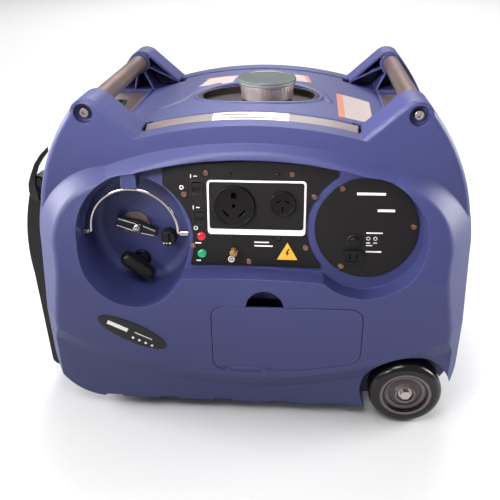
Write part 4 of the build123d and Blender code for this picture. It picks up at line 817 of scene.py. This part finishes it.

# %% [markdown]
# ## The starter bay
# The fuel lever turns on a bright domed screw, and fine pale lines along its edges are painted
# highlights. The choke knob has a pale mark. A dark bush guides the rope behind the starter grip, and a
# pale line along the grip is a painted highlight on its edge.

# %% Details in the bay
lever_low, lever_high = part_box("fuel_valve_lever")
lever_joint = next(j for j in frame["joints"] if j["name"] == "fuel_lever_turn")
lever_axis = Vector(lever_joint["pos_m"])
front_of_lever = Vector((lever_axis.x, lever_low.y, lever_axis.z))
TOWARDS_FRONT = Vector((0, -1, 0))


def onto(build, point, across, out):
    """Move a shape made along Z so that it looks out of a surface at a point."""
    bmesh.ops.transform(build, matrix=facing(point, across, out), verts=build.verts)
    return build


screw = rivet_head(6.6 * mm, 3.4 * mm, 36)
settle("lever_screw", onto(screw, front_of_lever, X_AXIS, TOWARDS_FRONT), "chrome", "fuel_lever")
lever_turn = radians(-18)
along_lever = Vector((cos(lever_turn), 0, sin(lever_turn)))
# Pale lines along the lever's top and bottom edges, in the print finish: painted highlights.
lever_lines = bmesh.new()
half_line = 0.45
lever_highlight_ends = ((-27, 4, 5.0, 5.9), (8, 26, 5.6, 3.6), (-27, 4, -5.0, -5.9), (8, 26, -5.6, -3.6))
for start, end, rise_from, rise_to in lever_highlight_ends:
    line = [(start, rise_from - half_line), (end, rise_to - half_line),
            (end, rise_to + half_line), (start, rise_from + half_line)]
    slab(lever_lines, line, facing(front_of_lever, along_lever, TOWARDS_FRONT), 0.12)
settle("lever_lines", lever_lines, "white_print", "fuel_lever", smooth=False)

knob_low, knob_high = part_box("choke_knob")
knob_middle = (knob_low + knob_high) / 2
knob_front = Vector((knob_middle.x, knob_low.y, knob_middle.z))
knob_marks = bmesh.new()
for x, width in ((-5.5, 2.6), (-1.5, 2.0), (3.0, 3.2)):
    slab(knob_marks, bar_outline(width, 1.6, (x, -4.5)), facing(knob_front, X_AXIS, TOWARDS_FRONT), 0.15)
settle("knob_marks", knob_marks, "white_print", "choke", smooth=False)

# %% The bush and the painted highlight along the grip
grip_low, grip_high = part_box("recoil_grip")
grip_middle = (grip_low + grip_high) / 2
bay_floor_y = -140 * mm
bush_profile = [(8.2, 0.0), (8.2, 2.0), (9.0, 2.8), (11.5, 2.8), (13.0, 1.2), (13.2, 0.0), (8.2, 0.0)]
bush = turned([(r * mm, h * mm) for r, h in bush_profile], Vector((0, 0, 0)), 48)
settle("rope_bush", onto(bush, Vector((grip_middle.x, bay_floor_y, grip_middle.z)), X_AXIS, TOWARDS_FRONT),
       "gloss_black")
grip_skin = Skin("recoil_grip")
grip_turn = radians(-38)
along_grip = Vector((cos(grip_turn), 0, sin(grip_turn)))
across_grip = Vector((-sin(grip_turn), 0, cos(grip_turn)))
# A thin pale bead along the grip, in the print finish: a painted highlight on the grip's edge.
grip_highlight_path = [grip_middle + along_grip * x * mm + across_grip * 4.6 * mm + TOWARDS_FRONT * 0.05
        for x in range(-20, 22, 3)]
settle("grip_seam", bead_over(grip_skin, grip_highlight_path, BACK, 1.3 * mm, 0.3 * mm, False), "white_print", "recoil")

# %% [markdown]
# ## Wheels and the handle's shoulders
# Each wheel has a dark ring in its dish, painted shade for the gap there, and a darker disc round the
# bolt. Both turn with the wheel. A thin black cover hugs each shoulder of the case beside the handle's pivot.

# %% Wheel trim
# The dark ring in each dish is painted shade for the gap there.
gap_shade_profile = [(29.4, -0.2), (29.4, 3.8), (31.2, 5.2), (32.2, 5.7), (32.2, -0.2), (29.4, -0.2)]
disc_profile = [(14.2, -0.1), (14.2, 0.5), (22.8, 0.5), (23.6, 0.0), (23.6, -0.1), (14.2, -0.1)]
dish_floor = 219 * mm
for wheel, across, out in (("front", X_AXIS, TOWARDS_FRONT), ("rear", -X_AXIS, BACK)):
    low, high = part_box(wheel + "_hub")
    centre = Vector(((low.x + high.x) / 2, 0, (low.z + high.z) / 2))
    ring = turned([(r * mm, h * mm) for r, h in gap_shade_profile], Vector((0, 0, 0)), 64)
    settle(wheel + "_hub_ring", onto(ring, centre + out * dish_floor, across, out), "gloss_black",
           wheel + "_wheel")
    disc = turned([(r * mm, h * mm) for r, h in disc_profile], Vector((0, 0, 0)), 48)
    settle(wheel + "_hub_disc", onto(disc, centre + out * dish_floor, across, out), "hub_dark",
           wheel + "_wheel")


# %% Shoulder covers
def shoulder_cover(out_sign):
    """Crescent plate beside the handle's pivot, with a thick top that wraps the shoulder."""
    build = bmesh.new()
    outer = [(-262, 384), (-273, 374), (-283, 361), (-291, 345),
             (-296, 333), (-297.5, 322), (-296, 312), (-291, 308)]
    inner = [(-262, 377), (-270, 368), (-278, 357), (-284, 344),
             (-286, 334), (-286, 324), (-285, 315), (-284, 308)]
    near, far = 153.4 * mm, 157.5 * mm
    loops = []
    for outline, depth in ((outer, near), (outer, far), (inner, far + 1.5 * mm), (inner, near)):
        loops.append([build.verts.new((case_x + x * mm, out_sign * depth, z * mm)) for x, z in outline])
    for loop, following in zip(loops, loops[1:] + loops[:1]):
        for k in range(len(outer) - 1):
            build.faces.new((loop[k], loop[k + 1], following[k + 1], following[k]))
    build.faces.new([loop[0] for loop in loops])
    build.faces.new([loop[-1] for loop in loops][::-1])
    return build


for side, out_sign in (("front", -1), ("rear", 1)):
    settle(side + "_pivot_cover", shoulder_cover(out_sign), "gloss_black")

# %% [markdown]
# ## Light and floor
# A key lamp stands above the front, and a narrow lamp lights the upper front. One lamp at each
# side and one high over the middle make the glow along the edges, and a wide lamp far back keeps the
# floor pale behind the object. The floor is plain and runs far behind.

# %% Floor, lamps and world
floor_mesh = bpy.data.meshes.new("studio_floor")
reach = 12.0
floor_mesh.from_pydata([(-reach, -reach, 0), (reach, -reach, 0), (reach, reach, 0), (-reach, reach, 0)], [],
                       [(0, 1, 2, 3)])
floor = bpy.data.objects.new("studio_floor", floor_mesh)
bpy.context.scene.collection.objects.link(floor)
pale = bpy.data.materials.new("studio_pale")
pale.use_nodes = True
pale.node_tree.nodes["Principled BSDF"].inputs["Base Color"].default_value = (0.50, 0.50, 0.505, 1)
pale.node_tree.nodes["Principled BSDF"].inputs["Roughness"].default_value = 0.85
floor_mesh.materials.append(pale)


def soft_lamp(name, place, aim, size, power, spread=180):
    light = bpy.data.lights.new(name, "AREA")
    light.shape = "DISK"
    light.size = size
    light.energy = power
    light.spread = radians(spread)
    lamp = bpy.data.objects.new(name, light)
    lamp.location = place
    lamp.rotation_euler = (Vector(aim) - Vector(place)).to_track_quat("-Z", "Y").to_euler()
    bpy.context.scene.collection.objects.link(lamp)


soft_lamp("key", (-0.12, -0.66, 1.02), (0, -0.1, 0.38), 0.5, 7)
soft_lamp("header_glow", (-0.8, -1.1, 0.9), (0, -0.2, 0.52), 0.35, 1.5, 34)
soft_lamp("top_glow", (-0.25, 0.1, 2.0), (0, 0, 0.4), 1.1, 3)
soft_lamp("left_glow", (-1.7, -0.15, 0.9), (-0.1, 0, 0.3), 0.9, 52)
soft_lamp("right_glow", (1.7, 0.1, 0.8), (0.1, 0, 0.3), 0.9, 46)
soft_lamp("back_wash", (0.0, 3.6, 4.6), (0, 3.6, 0), 4.0, 480)
world = bpy.data.worlds.new("studio")
world.use_nodes = True
world.node_tree.nodes["Background"].inputs["Color"].default_value = (1.0, 0.98, 0.97, 1)
world.node_tree.nodes["Background"].inputs["Strength"].default_value = 0.30
bpy.context.scene.world = world
bpy.context.scene.view_settings.view_transform = "Standard"

# %% [markdown]
# ## The camera
# The camera stands a little right of the middle, higher than the top cover, and looks down at the
# controls. Its place and turn are in metres and degrees in the shared frame.

# %% Camera
camera_data = bpy.data.cameras.new("camera")
camera_data.sensor_width = 36
camera_data.lens = 45.7
camera = bpy.data.objects.new("camera", camera_data)
turn_left, look_down, roll = radians(5.06), radians(27.91), radians(-0.97)
aim = Euler((pi / 2 - look_down, 0, turn_left)).to_matrix().to_4x4() @ Matrix.Rotation(roll, 4, "Z")
camera.matrix_world = Matrix.Translation((0.0829, -0.9302, 0.6504)) @ aim
bpy.context.scene.collection.objects.link(camera)
bpy.context.scene.camera = camera
